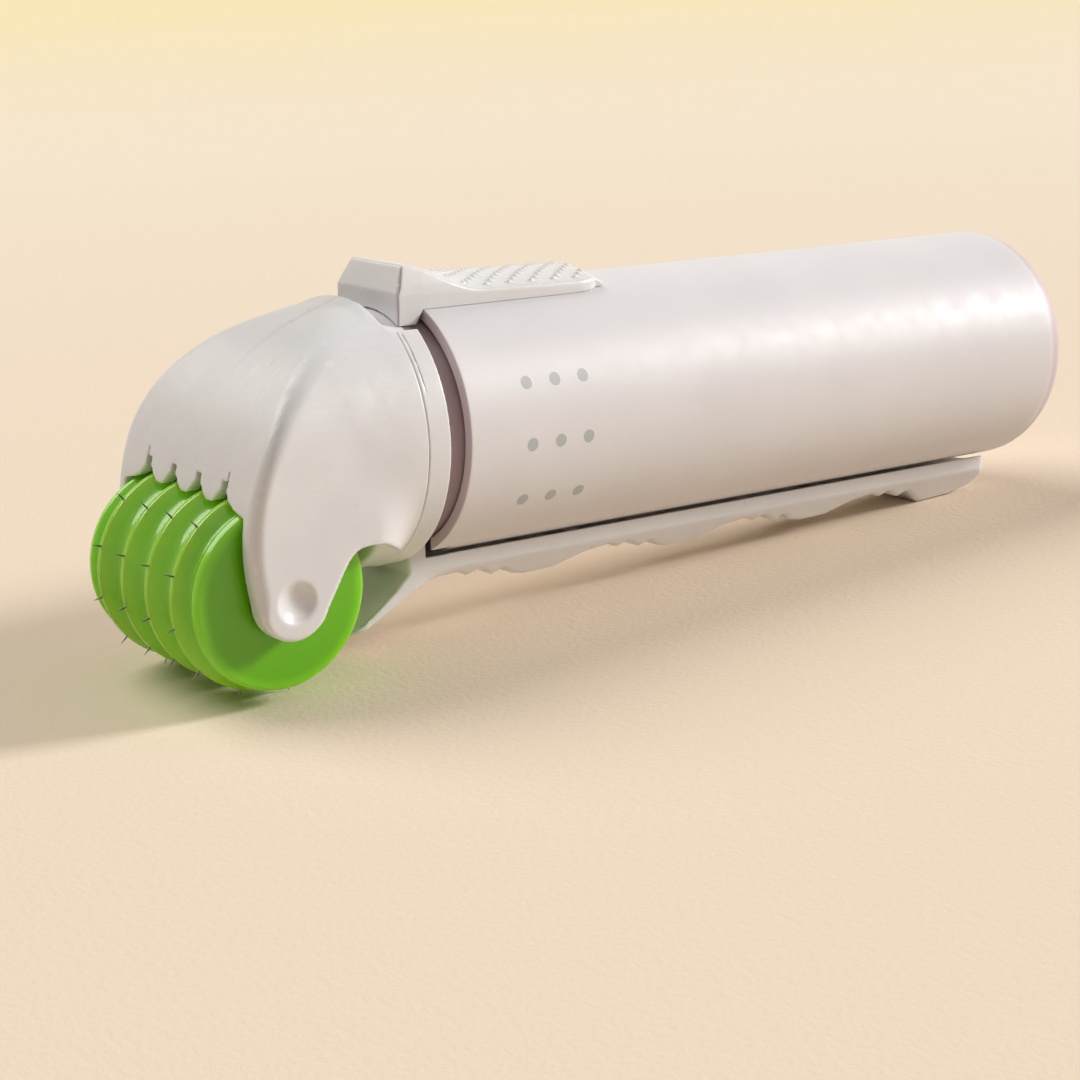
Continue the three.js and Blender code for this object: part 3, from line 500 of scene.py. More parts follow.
def collar_field(x, y, z):
    reach = np.hypot(y, z)
    solid = outline_field(x, reach, collar_profile)
    notch = cut(cut(np.abs(y) - notch_half, neck_radius - reach, 0.2), 2 - z, 0.3)
    solid = cut(solid, -notch, 0.3)
    chin = cut(np.abs(reach - (chin_radius + neck_radius - 0.4) / 2) - (chin_radius - neck_radius + 0.4) / 2,
               outline_field(x, z, chin_outline), 0.3)
    sweep = tip_radius + 0.9 - np.hypot(x - axle_x, z - axle_z)
    chin = cut(cut(chin, sweep, 0.4), collar_front - 0.5 - x, 0.1)
    solid = join(solid, chin, 0.3)
    # A short alignment line beside the notch on the near side
    angle = np.arctan2(z, y)
    line = np.maximum(np.abs(x - collar_front + 0.5) - 0.06, np.abs(angle - 0.67) - 0.21)
    line = np.minimum(line, np.maximum(np.abs(angle - 0.46) * collar_radius - 0.06, np.abs(x - 4.25) - 1.0))
    return np.maximum(solid, -np.maximum(line, collar_radius - 0.12 - reach))


def make_collar(look):
    fine = [(collar_rear - 0.2, collar_rear + 0.4, 0.1), (collar_front - 0.85, collar_front + 0.2, 0.07)]
    xs = grid_line(neck_rear - 0.3, collar_high[0] + 0.4, 0.36, fine)
    across = grid_line(-collar_radius - 0.4, collar_radius + 0.4, 0.34)
    add_moulded("neck_collar", look, collar_field, xs, across, across)


# ---- Grip bar ----

foot_x = bar_low[0] + 7.4
foot_z = -tube_radius - 4.57
finger_pitch = 22.0


def bar_outline():
    """Side outline: cradle side on top, finger grooves and teeth underneath, guard at the front."""
    top = -tube_radius - 1.9
    deep = top - 2

    def ground(x):
        return foot_z - (x - foot_x) * tan(tilt)

    line = [(0.3, -12), (bar_low[0] + 0.9, -12), (bar_low[0], -13), (bar_low[0], -tube_radius - 2, 0.8),
            (-89.6, -tube_radius - 3.4, 1.5), (-86.6, ground(-86.6), 0.8), (-80.6, ground(-80.6), 1.2)]
    for k in range(3, -1, -1):
        at = -4.6 - k * finger_pitch
        if k < 3:
            line += [(at - 14.3, deep + 0.1, 2), (at - 10.2, deep, 0.8)]
        line += [(at - 8.3, deep + 0.35, 0.3), (at - 6.6, top - 0.55, 0.3), (at - 5.1, top - 1.25, 0.3),
                 (at - 2.9, top - 0.05, 0.5), (at - 1.4, top - 0.7, 0.3), (at, top, 1.2)]
        if k > 0:
            line += [(at + 3.6, top - 0.5, 6)]
    line += [(-0.3, top - 0.1, 6), (4.3, -19.2, 8), (8.6, -21.5, 3), (10.9, -21.9, 0.2), (10.9, -21.5, 0.2)]
    line += [(8.9, -20.95, 3), (4.4, -17.6, 3), (2.6, -15.9, 0.6), (2.6, -12)]
    return rounded(line)


bar_side = bar_outline()
bar_plan = rounded([
    (bar_low[0], -6.3, 1.2), (10.9, -6.3, 2.6), (10.9, 6.3, 2.6), (bar_low[0], 6.3, 1.2)])


def bar_field(x, y, z):
    slope = 0.62 * smoothstep(-x, -2, 3)
    lean = (np.abs(y) - bar_high[1] - slope * np.minimum(z + tube_radius + 0.95, 0)) * 0.86
    scoop = 0.8 * (1 - (y / bar_high[1]) ** 2) * smoothstep(x, 2.8, 5)
    solid = cut(outline_field(x, z + scoop, bar_side), np.maximum(np.abs(y) - bar_high[1], lean), 0.3)
    solid = cut(solid, outline_field(x, y, bar_plan), 0.3)
    seat = np.where(x < 0.3, tube_radius + 0.5, neck_radius + 0.3)
    solid = cut(solid, seat - np.hypot(y, z), 0.2)
    return cut(solid, tip_radius + 0.9 - np.hypot(x - axle_x, z - axle_z), 0.3)


def make_bar(look):
    xs = grid_line(bar_low[0] - 0.4, 11.3, 0.36, [(-0.2, 0.8, 0.12)])
    ys = grid_line(bar_low[1] - 0.4, bar_high[1] + 0.4, 0.3)
    zs = grid_line(-23.1, bar_high[2] + 0.4, 0.23)
    add_moulded("grip_bar", look, bar_field, xs, ys, zs)


# ---- Thumb pad ----

pad_crown = tube_radius + 1.5
pad_top = pad_high[2]
row_first = -2.8  # where the first row of bumps meets the near edge of the pad's top
row_pitch = 3.15
row_near = 5.3
row_slant = (0.77, 0.64)  # how far a row runs back and across for each millimetre of its length
bump_pitch = 1.3
bump_rise = 0.38
bump_spread = 0.13
bumps_front = -4.2
bumps_rear = -24.6


def pad_height(x, y):
    """The top: flat over the front block, then down to a crown about the tube's axis."""
    crown = np.sqrt(np.maximum(pad_crown ** 2 - y ** 2, 1))
    block = pad_top - 0.02 * np.maximum(2.1 - x, 0)
    share = 1 - (1 - smoothstep(-x, -2.3, 9.5)) ** 1.4
    tail = np.maximum(-x - 23.4, 0) ** 2 * 0.16 + 0.02 * np.maximum(-x - 9, 0)
    return lerp(block, crown, share) - tail


def pad_bumps(x, y):
    """Slanting rows of small round bumps across the crowned part of the pad."""
    along = np.clip(np.round((row_near - y) / row_slant[1] / bump_pitch), 0, 12) * bump_pitch
    row = np.round((row_first - row_slant[0] * along - x) / row_pitch)
    middle_x = row_first - row_slant[0] * along - row * row_pitch
    middle_y = row_near - row_slant[1] * along
    away = (x - middle_x) ** 2 + (y - middle_y) ** 2
    inside = (middle_x < bumps_front) & (middle_x > bumps_rear)
    return np.where(inside, bump_rise * np.exp(-away / bump_spread), 0)


pad_front = rounded([(pad_high[0], 10), (pad_high[0], 15.8, 0.25), (pad_high[0] - 1.45, 18.9, 0.2),
                     (pad_high[0] - 3, 25), (-40, 25), (-40, 10)], steps=4)
pad_plan = rounded(
    [(10, -pad_high[1]), (10, pad_high[1]), (-27.1, pad_high[1], 5.6), (-27.1, -pad_high[1], 5.6)],
    steps=10)


def pad_field(x, y, z):
    across = np.abs(y)
    reach = np.hypot(y, z)
    rise = np.maximum(z - tube_radius - 0.45 - 0.045 * np.minimum(x, 0), 0)
    sides = np.where(rise > 0, (across + 0.38 * rise - pad_high[1]) * 0.94, across - pad_high[1])
    solid = cut(outline_field(x, z, pad_front), sides, 0.25)
    solid = cut(solid, outline_field(x, y, pad_plan), 0.5)
    top = (z - pad_height(x, y)) * 0.9
    solid = cut(solid, top, 0.3)
    bumped = np.maximum(z - pad_height(x, y) - pad_bumps(x, y), pad_crown - 2.5 - z)
    bumped = np.maximum(np.maximum(bumped, across - pad_high[1] + 0.9), np.abs(x + 14.6) - 11.2)
    solid = join(solid, bumped * 0.7, 0.1)
    # Seat on the tube, and the foot that comes down in front of it onto the neck
    seat = lerp(tube_radius + 0.06, neck_radius + 0.13, np.clip((x - 0.05) / 0.9, 0, 1))
    solid = cut(solid, (seat - reach) * 0.7, 0.1)
    # A fine groove up the front corner and one at the foot's step
    corner = np.hypot(x - pad_high[0] + 0.12 + 0.38 * rise, across - pad_high[1] + 0.34 * rise) - 0.2
    step = np.maximum(np.hypot(x + 0.3, across - pad_high[1]) - 0.16, z - tube_radius - 0.05)
    return np.maximum(np.maximum(solid, -corner * 0.9), -step)


def make_pad(look):
    xs = grid_line(-27.9, pad_high[0] + 0.3, 0.17, [(pad_high[0] - 0.8, pad_high[0] + 0.2, 0.12)])
    ys = grid_line(-pad_high[1] - 0.3, pad_high[1] + 0.3, 0.16)
    zs = grid_line(pad_low[2] - 0.3, pad_high[2] + 0.4, 0.16)
    add_moulded("thumb_pad", look, pad_field, xs, ys, zs)


# ---- Handle tube ----

tube_wall = 1.1
tube_bore = tube_radius - tube_wall
lip_bore = neck_radius + 0.24
tube_tail = tube_low[0]
rim_notch = -2.9
rim_notch_half = bar_high[1] + 0.5


def make_tube(look):
    """Rounded and closed at its tail, open at its rim, with a notch below for the bar's riser."""
    profile = supported(rounded([
        (tube_tail, 0), (tube_tail, tube_radius, 4.5), (rim_notch, tube_radius), (0, tube_radius, 0.14),
        (0, lip_bore, 0.08), (-1.6, lip_bore, 0.08), (-1.6, tube_bore), (rim_notch, tube_bore),
        (tube_tail + 1.6, tube_bore, 2.9), (tube_tail + 1.6, 0)], closed=False, steps=8), 0.3)
    notch_sides, sides = 28, 192
    points, rings = [], []
    for x, radius in profile:
        if radius == 0:
            rings.append([len(points)] * sides)
            points.append((x, 0, 0))
            continue
        half = asin(rim_notch_half / max(radius, tube_bore))
        angles = [-pi / 2 + lerp(-half, half, k / notch_sides) for k in range(notch_sides)]
        rest = sides - notch_sides
        angles += [-pi / 2 + lerp(half, 2 * pi - half, k / rest) for k in range(rest)]
        rings.append(list(range(len(points), len(points) + sides)))
        points += [(x, radius * cos(a), radius * sin(a)) for a in angles]
    at_notch = [i for i, (x, _) in enumerate(profile) if abs(x - rim_notch) < 1e-6]
    outer, inner = at_notch[0], at_notch[-1]
    faces = [quad(first, second, k) for i, (first, second) in enumerate(zip(rings, rings[1:]))
             for k in range(sides) if not (outer <= i < inner and k < notch_sides)]
    faces += [[rings[outer][k], rings[outer][k + 1], rings[inner][k + 1], rings[inner][k]]
              for k in range(notch_sides)]
    faces += [[ring[k] for ring in rings[outer:inner + 1]] for k in (0, notch_sides)]
    add_piece("handle_tube", "shell", points, faces, look)


# ---- Turned pieces ----

axle = (axle_x, 0.0, axle_z)


def turned(node, corners, look, sides=96, axis="x", closed=True):
    """A piece turned from (along, radius, fillet) corners, along the handle or about the axle."""
    centre = axle if axis == "y" else (0.0, 0.0, 0.0)
    points, faces = lathe(rounded(corners, closed), sides, centre, axis, closed)
    add_piece(node, "turned", points, faces, look)


crest_half = 0.34
seam = 0.045  # between the discs at their crests
plate_room = 0.16  # half the room for a needle plate between the discs
hub_seat = 4.15
disc_sides = 160


def make_discs(look):
    half = ring_pitch / 2
    for k in range(3):
        y = (k - 1) * ring_pitch
        side = [
            (plate_room - half, hub_seat, 0.1), (plate_room - half, crest - 1.9), (seam - half, crest - 1.6),
            (seam - half, crest), (crest_half - half, crest, 0.5), (0, valley - 0.5, 1.9)]
        corners = [(y + a, *rest) for a, *rest in side]
        corners += [(y - a, *rest) for a, *rest in side[-2::-1]]
        turned(f"drum_disc_{k + 1}", corners, look, disc_sides, "y")
    inner = ring_places[3]
    pocket = arm_inner - 2.3  # round the arm's pip
    for hand, side in ((1, "near"), (-1, "far")):
        corners = [
            (inner + plate_room, hub_seat, 0.1), (inner + plate_room, crest - 1.9),
            (inner + seam, crest - 1.6), (inner + seam, crest), (inner + crest_half, crest, 0.5),
            (inner + 1.75, crest - 1.65, 1.0),
            (inner + 3.15, crest - 0.66, 0.55), (drum_half, crest - 0.9, 0.45), (drum_half, 3.9, 0.25),
            (pocket, 3.6, 0.2), (pocket, 1.4, 0.1), (pocket - 0.6, 1.4, 0.1), (pocket - 0.6, hub_seat)]
        turned(f"drum_end_{side}", [(hand * a, *rest) for a, *rest in corners], look, disc_sides, "y")


needle_count = 12
needle_phase = radians(10.2)  # lowest needle, behind straight down
needle_radius = 0.1
needle_taper = 0.85


def make_needles(look):
    """A thin plate with its needles round it, in each seam of the drum."""
    seated = valley - 1.45
    tapered = tip_radius - needle_taper
    for k, y in enumerate(ring_places):
        plate = [(y - 0.1, 4.2), (y - 0.1, seated), (y + 0.1, seated), (y + 0.1, 4.2)]
        parts = [lathe(plate, 96, axle, "y", True)]
        for n in range(needle_count):
            a = -pi / 2 - tilt - needle_phase + 2 * pi * n / needle_count
            profile = [(seated - 0.05, 0), (seated - 0.05, needle_radius), (tapered, needle_radius),
                       (tip_radius - 0.35, 0.055), (tip_radius - 0.05, 0.014), (tip_radius, 0)]
            points, faces = lathe(profile, 12)
            swing = Matrix.Translation(Vector((axle_x, y, axle_z))) @ Matrix.Rotation(-a, 4, "Y")
            parts.append(([swing @ Vector(p) for p in points], faces))
        points, faces = merged(parts)
        add_piece(f"needle_ring_{k + 1}", "pins", points, faces, look)


def span(node):
    """A turned piece's rear end, front end and outer radius."""
    low, high = box(node)
    return low[0], high[0], high[1]


def make_bearing(green, acetal, steel):
    end = box("drum_hub")[1][1]
    deep = end - 3.2  # where the bushes stop
    turned("drum_hub", [
        (-end, 2.25, 0.1), (-end, 4, 0.25), (end, 4, 0.25), (end, 2.25, 0.1),
        (deep, 2.25, 0.1), (deep, 1.5, 0.1), (-deep, 1.5, 0.1), (-deep, 2.25, 0.1),
    ], green, 64, "y")
    for side in ("near", "far"):
        low, high = box("hub_bush_" + side)
        turned("hub_bush_" + side, [
            (low[1], 1.14, 0.12), (low[1], 2.1, 0.2), (high[1], 2.1, 0.2), (high[1], 1.14, 0.12),
        ], acetal, 48, "y")
    end = box("axle_pin")[1][1]
    turned("axle_pin", [(-end, 0), (-end, 1, 0.3), (end, 1, 0.3), (end, 0)], steel,
           48, "y", closed=False)


def make_vial(glass, rubber, aluminium, acetal):
    tail, mouth, radius = span("vial_glass")
    throat = 6.3
    turned("vial_glass", [
        (tail + 0.5, 0), (tail + 0.5, 8.5, 1.5), (tail, 9.6, 0.5), (tail, radius, 1.6),
        (mouth - 9.9, radius, 2.6),
        (mouth - 3.9, 7.8, 2.2), (mouth - 1.6, 7.8, 0.5), (mouth - 1.3, 8.8, 0.5), (mouth, 8.8, 0.4),
        (mouth, throat, 0.3), (mouth - 5, throat, 1.4), (mouth - 9.9, radius - 1.2, 2),
        (tail + 1.3, radius - 1.2, 1.4), (tail + 1.3, 8, 0.6), (tail + 1.8, 0)], glass,
        128, closed=False)
    rear, front = span("vial_stopper")[:2]
    turned("vial_stopper", [
        (rear, 1.7, 0.2), (rear, 5.4, 0.4), (front - 2.2, 6, 0.2), (front - 2.2, 8.7, 0.4),
        (front, 8.7, 0.4), (front, 1.7, 0.2)], rubber, 64)
    rear, front, radius = span("crimp_cap")
    turned("crimp_cap", [
        (front - 0.4, 4, 0.1), (front, 4.3, 0.1), (front, radius, 0.45), (front - 4.6, radius, 0.2),
        (rear, radius - 0.25, 0.15), (rear, radius - 0.6, 0.1), (front - 0.4, radius - 0.6, 0.1),
    ], aluminium)
    rear, front, rim = span("vial_cup")
    wall = tube_bore - 2.1
    turned("vial_cup", [
        (rear, 10.6, 0.3), (rear, rim, 0.3), (rear + 1.3, rim, 0.3), (rear + 1.3, wall, 0.2),
        (front, wall, 0.6), (front, 3, 0.3), (front - 1.2, 3, 0.2), (front - 1.2, 10.6, 0.5),
    ], acetal, 128)


def make_rings(acetal, rubber, silicone):
    rear, front, rim = span("drive_ring")
    turned("drive_ring", [
        (rear, 12.4, 0.3), (rear, rim, 0.4), (front, rim, 0.3), (front, 12.4, 0.3),
    ], acetal, 128)
    rear, front, rim = span("follower_cup")
    turned("follower_cup", [
        (front, 0), (front, 3, 0.3), (front - 0.35, 3.3, 0.3), (front - 0.35, 10.2, 0.3),
        (front, 10.6, 0.3), (front, rim, 0.5), (rear, rim, 0.3), (rear, rim - 1, 0.3),
        (front - 1.5, rim - 1, 0.6), (front - 1.5, 0)], acetal, 128, closed=False)
    rear, front, rim = span("neck_o_ring")
    middle, wire = (rear + front) / 2, (front - rear) / 2
    turned("neck_o_ring", arc((middle, rim - wire), wire, 0, 337.5, 15), rubber, 128)
    rear, front, rim = span("spike_seal")
    turned("spike_seal", [
        (rear, 1.8, 0.15), (rear, rim, 0.3), (front, rim, 0.3), (front, 1.8, 0.15),
    ], silicone, 64)


def make_spike(look):
    rear, front, rim = span("piercing_spike")
    flange = front - 4.25
    turned("piercing_spike", [
        (rear, 0.6), (rear + 2.2, 1.5, 0.4), (flange, 1.5, 0.1), (flange, rim, 0.15),
        (flange + 0.8, rim, 0.15), (flange + 0.8, 1.5, 0.1), (front, 1.5, 0.2), (front, 0.6, 0.1),
    ], look, 64)


nozzle_low = box("drip_nozzle")[0]


def nozzle_field(x, y, z):
    reach = np.hypot(y, z)
    base = rounded([
        (nozzle_low[0], 0), (nozzle_low[0], 1.9), (nozzle_low[0] + 0.5, 1.9), (nozzle_low[0] + 0.5, 4.2, 0.3),
        (nozzle_low[0] + 1.6, 4.2, 0.4), (nozzle_low[0] + 2.1, 3, 0.5), (nozzle_low[0] + 2.8, 2.6, 0.4),
        (nozzle_low[0] + 2.8, 0)])
    lean = radians(32)
    ahead = x - nozzle_low[0] - 2.2
    along = ahead * cos(lean) - z * sin(lean)
    aside = np.hypot(y, ahead * sin(lean) + z * cos(lean))
    spout = cut(aside - 2.4 + 0.13 * (along + 0.6), np.abs(along - 2.8) - 3.4, 0.35)
    solid = join(outline_field(x, reach, base), spout, 0.5)
    canal = np.where(along > 0, aside, reach) - 0.7
    return cut(solid, -canal, 0.2)


def make_nozzle(look):
    low, high = box("drip_nozzle")
    lines = [grid_line(low[k] - 0.3, high[k] + 0.3, 0.16) for k in range(3)]
    add_moulded("drip_nozzle", look, nozzle_field, *lines)


def make_spring(node, look, radius, turns, wire=0.4):
    """Round wire along a helix, its end turns closed up."""
    low, high = box(node)
    steps, sides = int(turns * 48), 12
    points = []
    for k in range(steps + 1):
        t = k / steps
        a = 2 * pi * turns * t
        x = lerp(low[0] + wire, high[0] - wire, lerp(t, smoothstep(t, 0, 1), 0.35))
        for n in range(sides):
            b = 2 * pi * n / sides
            r = radius + wire * cos(b)
            points.append((x + wire * sin(b), r * cos(a), r * sin(a)))
    rings = [list(range(k * sides, (k + 1) * sides)) for k in range(steps + 1)]
    faces = [quad(first, second, n) for first, second in zip(rings, rings[1:]) for n in range(sides)]
    faces += [rings[0], rings[-1]]
    return add_piece(node, "coil", points, faces, look)


# ---- Materials ----

def feed(socket, value):
    """Gives a socket a plain value or another node's output."""
    if isinstance(value, Value):
        socket.id_data.links.new(value.output, socket)
    else:
        socket.default_value = value


def add_node(tree, kind, inputs=None, output=0, **settings):
    """A new node, handed back as the value of its output."""
    node = tree.nodes.new(kind)
    for key, value in settings.items():
        setattr(node, key, value)
    for socket, value in (inputs or {}).items():
        feed(node.inputs[socket], value)
    return Value(node.outputs[output])


class Value:
    """A node's output. Reckoning with it makes Math nodes."""

    def __init__(self, output):
        self.output = output

    def math(self, operation, other=0.0):
        return add_node(self.output.id_data, "ShaderNodeMath", {0: self, 1: other}, operation=operation)

    def __add__(self, other):
        return self.math("ADD", other)

    def __sub__(self, other):
        return self.math("SUBTRACT", other)

    def __mul__(self, other):
        return self.math("MULTIPLY", other)

    def __truediv__(self, other):
        return self.math("DIVIDE", other)

    def __abs__(self):
        return self.math("ABSOLUTE")


def length_of(a, b):
    return (a * a + b * b).math("SQRT")


class Look:
    """A Principled material whose patterns are laid out in millimetres in the handle's frame."""

    def __init__(self, name, slot, colour, roughness, **sockets):
        self.slot = slot
        self.material = bpy.data.materials.new(name)
        self.material.use_nodes = True
        self.tree = self.material.node_tree
        self.shader = self.tree.nodes["Principled BSDF"]
        self.set("Base Color", (*colour, 1))
        self.set("Roughness", roughness)
        for socket, value in sockets.items():
            self.set(socket.replace("_", " "), value)
        self.spot = self.node("ShaderNodeMapping", {
            "Vector": self.node("ShaderNodeTexCoord", output="Object"), "Location": [-v for v in offset],
            "Rotation": (0, tilt, 0), "Scale": (1 / MM, 1 / MM, 1 / MM)})
        parts = self.node("ShaderNodeSeparateXYZ", {0: self.spot}).output.node
        self.x, self.y, self.z = [Value(part) for part in parts.outputs]

    def node(self, kind, inputs=None, output=0, **settings):
        return add_node(self.tree, kind, inputs, output, **settings)

    def set(self, socket, value):
        feed(self.shader.inputs[socket], value)

    def noise(self, per_mm, stretch=(1, 1, 1), detail=3, warp=0.0):
        vector = self.node("ShaderNodeMapping", {"Vector": self.spot, "Scale": stretch})
        return self.node("ShaderNodeTexNoise", {
            "Vector": vector, "Scale": per_mm, "Detail": detail, "Distortion": warp})

    def ramp(self, value, low, high, start=0.0, stop=1.0):
        """Maps low..high to start..stop and holds the ends."""
        return self.node("ShaderNodeMapRange", {
            "Value": value, "From Min": low, "From Max": high, "To Min": start, "To Max": stop})

    def blend(self, share, a, b):
        a, b = [v if isinstance(v, Value) else (*v, 1) for v in (a, b)]
        return self.node("ShaderNodeMix", {0: share, 6: a, 7: b}, 2, data_type="RGBA")

    def tint(self, dark, light, per_mm):
        """Colour that wanders between two shades."""
        self.set("Base Color", self.blend(self.ramp(self.noise(per_mm, detail=4), 0.35, 0.65), dark, light))

    def rough(self, low, high, per_mm, stretch=(1, 1, 1)):
        self.set("Roughness", self.ramp(self.noise(per_mm, stretch, 5), 0.3, 0.7, low, high))

    def relief(self, *layers):
        """Adds bump from (height, depth in millimetres) layers, coarse first, and hands the look back."""
        normal = None
        for height, depth in layers:
            inputs = {"Height": height, "Distance": depth * MM, "Strength": 1.0}
            if normal:
                inputs["Normal"] = normal
            normal = self.node("ShaderNodeBump", inputs)
        self.set("Normal", normal)
        return self

    def hairlines(self, per_mm, stretch, width):
        """Thin wandering lines, 1 on a line and 0 elsewhere."""
        return self.ramp(abs(self.noise(per_mm, stretch, 1, 0.3) - 0.5), 0.0, width, 1.0, 0.0)


def neck_painted_shade(look):
    """Painted shade on the sleeve behind the collar ring, darker than the rest."""
    behind = look.ramp(look.x, collar_rear - 0.02, collar_rear - 0.12)
    within = look.ramp(length_of(look.y, look.z), neck_radius + 0.16, neck_radius + 0.06)
    return (0.29, 0.185, 0.205), behind * within * 0.85


def pad_groove_painted_shade(look):
    """Painted shade in the groove down the front block's corners."""
    rise = (look.z - (tube_radius + 0.45)).math("MAXIMUM", 0.0)
    ahead = look.x + rise * 0.38 - (pad_high[0] - 0.12)
    aside = abs(look.y) + rise * 0.34 - pad_high[1]
    return (0.22, 0.18, 0.18), look.ramp(length_of(ahead, aside), 0.16, 0.26, 0.8, 0.0)


def brow_shade(look):
    """The mould's parting line over the brow."""
    off = abs(look.y + look.noise(0.15) * 0.5)
    line = look.ramp(abs(off - 0.25), 0.03, 0.07, 0.75, 0.0)
    return (0.40, 0.36, 0.34), line * (look.ramp(look.x, 22.0, 15.0) * look.ramp(look.z, 0.0, 5.0))


def white_plastic(name, shade=None, streaks=False):
    """Satin injection-moulded plastic: orange-peel skin, faint sinks, hairline scratches, edges lighter by wear
    and a painted highlight, hollow corners darker by dirt and painted shade.
    """
    look = Look(name, "white_plastic", (0.78, 0.77, 0.78), 0.34, IOR=1.5, Subsurface_Weight=0.04,
                Subsurface_Radius=(1.0, 0.75, 0.6), Subsurface_Scale=0.0012)
    cloud = look.ramp(look.noise(0.09, detail=4), 0.3, 0.7)
    base = look.blend(cloud, (0.75, 0.742, 0.755), (0.80, 0.792, 0.80))
    edge = look.node("ShaderNodeNewGeometry", output="Pointiness")
    # Convex edges lighter: wear, and a painted highlight along them.
    edge_wear_and_highlight = look.ramp(edge, 0.52, 0.60) * 0.35
    base = look.blend(edge_wear_and_highlight, base, (0.92, 0.90, 0.88))
    # Hollow corners darker: dirt, and painted shade in them.
    corner_dirt_and_shade = look.ramp(edge, 0.485, 0.43) * 0.35
    base = look.blend(corner_dirt_and_shade, base, (0.50, 0.44, 0.43))
    speck = look.ramp(look.noise(1.7, detail=2), 0.76, 0.79) * 0.1
    base = look.blend(speck, base, (0.55, 0.50, 0.48))
    if shade:
        colour, where = shade(look)
        base = look.blend(where, base, colour)
    look.set("Base Color", base)
    scratch = look.hairlines(0.32, (1, 0.25, 1.6), 0.004) * look.ramp(look.noise(0.2, detail=2), 0.5, 0.62)
    look.set("Roughness", look.ramp(look.noise(0.5, detail=5), 0.3, 0.7, 0.27, 0.42) + scratch * 0.2)
    layers = [(look.noise(0.16, detail=2), 0.11), (look.noise(0.9, detail=2), 0.012),
              (look.noise(5.5, detail=3), 0.0035), (scratch, -0.006)]
    if streaks:
        layers.append((look.noise(0.9, (0.05, 2.6, 0.05), 4), 0.05))
    return look.relief(*layers)


dot_radius = 0.76
dot_first = -12.23  # middle column of the printed dots
dot_pitch = 3.93
dot_turn = radians(-3.8)  # middle row, from the near side upwards
dot_turn_pitch = radians(26.6)


def pearl_plastic():
    """Pearl-lacquered tube with a plain grid of nine printed dots on its near side."""
    look = Look("pearl_lacquer", "pearl_plastic", (0.77, 0.75, 0.77), 0.5, Metallic=0.04, IOR=1.45)
    cloud = look.ramp(look.noise(0.07, detail=3), 0.3, 0.7)
    base = look.blend(cloud, (0.745, 0.725, 0.745), (0.79, 0.77, 0.785))
    flake = look.ramp(look.noise(9, detail=2), 0.4, 0.62) * 0.12
    base = look.blend(flake, base, (0.93, 0.92, 0.95))
    column = (look.x - dot_first) / dot_pitch
    row = (look.z.math("ARCTAN2", look.y) - dot_turn) / dot_turn_pitch
    gaps = []
    for count, size in ((column, dot_pitch), (row, dot_turn_pitch * tube_radius)):
        nearest = count.math("ROUND").math("MAXIMUM", -1.0).math("MINIMUM", 1.0)
        gaps.append((count - nearest) * size)
    ragged = length_of(*gaps) + (look.noise(6) - 0.5) * 0.06
    ink = look.ramp(ragged, dot_radius - 0.04, dot_radius + 0.04, 1.0, 0.0)
    base = look.blend(ink * 0.9, base, (0.45, 0.48, 0.49))
    # Painted shade: the tube's rim face and the bore inside it, mauve and darker than the outside.
    rim = look.ramp(length_of(look.y, look.z), tube_radius - 0.02, tube_radius - 0.1)
    look.set("Base Color", look.blend(rim, base, (0.62, 0.52, 0.55)))
    scratch = look.hairlines(0.25, (1.4, 0.5, 0.5), 0.003) * look.ramp(look.noise(0.12, detail=2), 0.52, 0.64)
    look.set("Roughness", look.ramp(look.noise(0.35, detail=5), 0.3, 0.7, 0.45, 0.55) + scratch * 0.15)
    return look.relief((look.noise(0.12, (0.35, 1, 1), 2), 0.05), (look.noise(1.6, detail=2), 0.004),
                       (scratch, -0.004), (ink, 0.012))


def green_plastic():
    """Glossy see-through-tinted green, with painted shade making it darker in the grooves and on the end faces."""
    look = Look("green_translucent", "green_plastic", (0.26, 0.60, 0.012), 0.16, IOR=1.5,
                Subsurface_Weight=0.4, Subsurface_Radius=(0.6, 1.0, 0.04), Subsurface_Scale=0.004,
                Coat_Weight=0.2, Coat_Roughness=0.06)
    reach = length_of(look.x - axle_x, look.z - axle_z)
    cloud = look.ramp(look.noise(0.35, detail=4), 0.3, 0.7)
    base = look.blend(cloud, (0.27, 0.73, 0.008), (0.33, 0.80, 0.011))
    # Painted shade: darker the nearer the axle, partly in the grooves and fully on the end faces.
    away_from_groove_shade = look.ramp(reach, crest - 2.2, crest - 0.2)
    look.set("Base Color", look.blend(away_from_groove_shade, (0.15, 0.50, 0.005), base))
    look.rough(0.12, 0.22, 0.8)
    rings = (reach * 38.0).math("SINE")
    return look.relief((look.noise(0.4, detail=2), 0.03), (look.noise(2.2, detail=2), 0.004), (rings, 0.0012))


def needle_steel():
    look = Look("drawn_steel", "needle_steel", (0.17, 0.17, 0.17), 0.28, Metallic=1.0)
    look.tint((0.12, 0.12, 0.12), (0.22, 0.22, 0.22), 1.5)
    look.rough(0.2, 0.38, 3, (0.4, 1, 1))
    return look.relief((look.noise(9, (0.15, 1, 1), 2), 0.003))


def acetal():
    look = Look("acetal_natural", "acetal", (0.86, 0.85, 0.80), 0.42, Subsurface_Weight=0.1,
                Subsurface_Radius=(1.0, 0.9, 0.7), Subsurface_Scale=0.001)
    look.tint((0.83, 0.815, 0.765), (0.88, 0.87, 0.825), 0.3)
    look.rough(0.36, 0.5, 0.9)
    return look.relief((look.noise(0.5, detail=2), 0.02), (look.noise(6), 0.003))


def seal_rubber():
    look = Look("grey_rubber", "seal_rubber", (0.11, 0.115, 0.12), 0.62, Sheen_Weight=0.1)
    look.tint((0.085, 0.09, 0.095), (0.14, 0.145, 0.15), 0.8)
    look.rough(0.55, 0.75, 2)
    return look.relief((look.noise(1.2), 0.01), (look.noise(9, detail=4), 0.006))


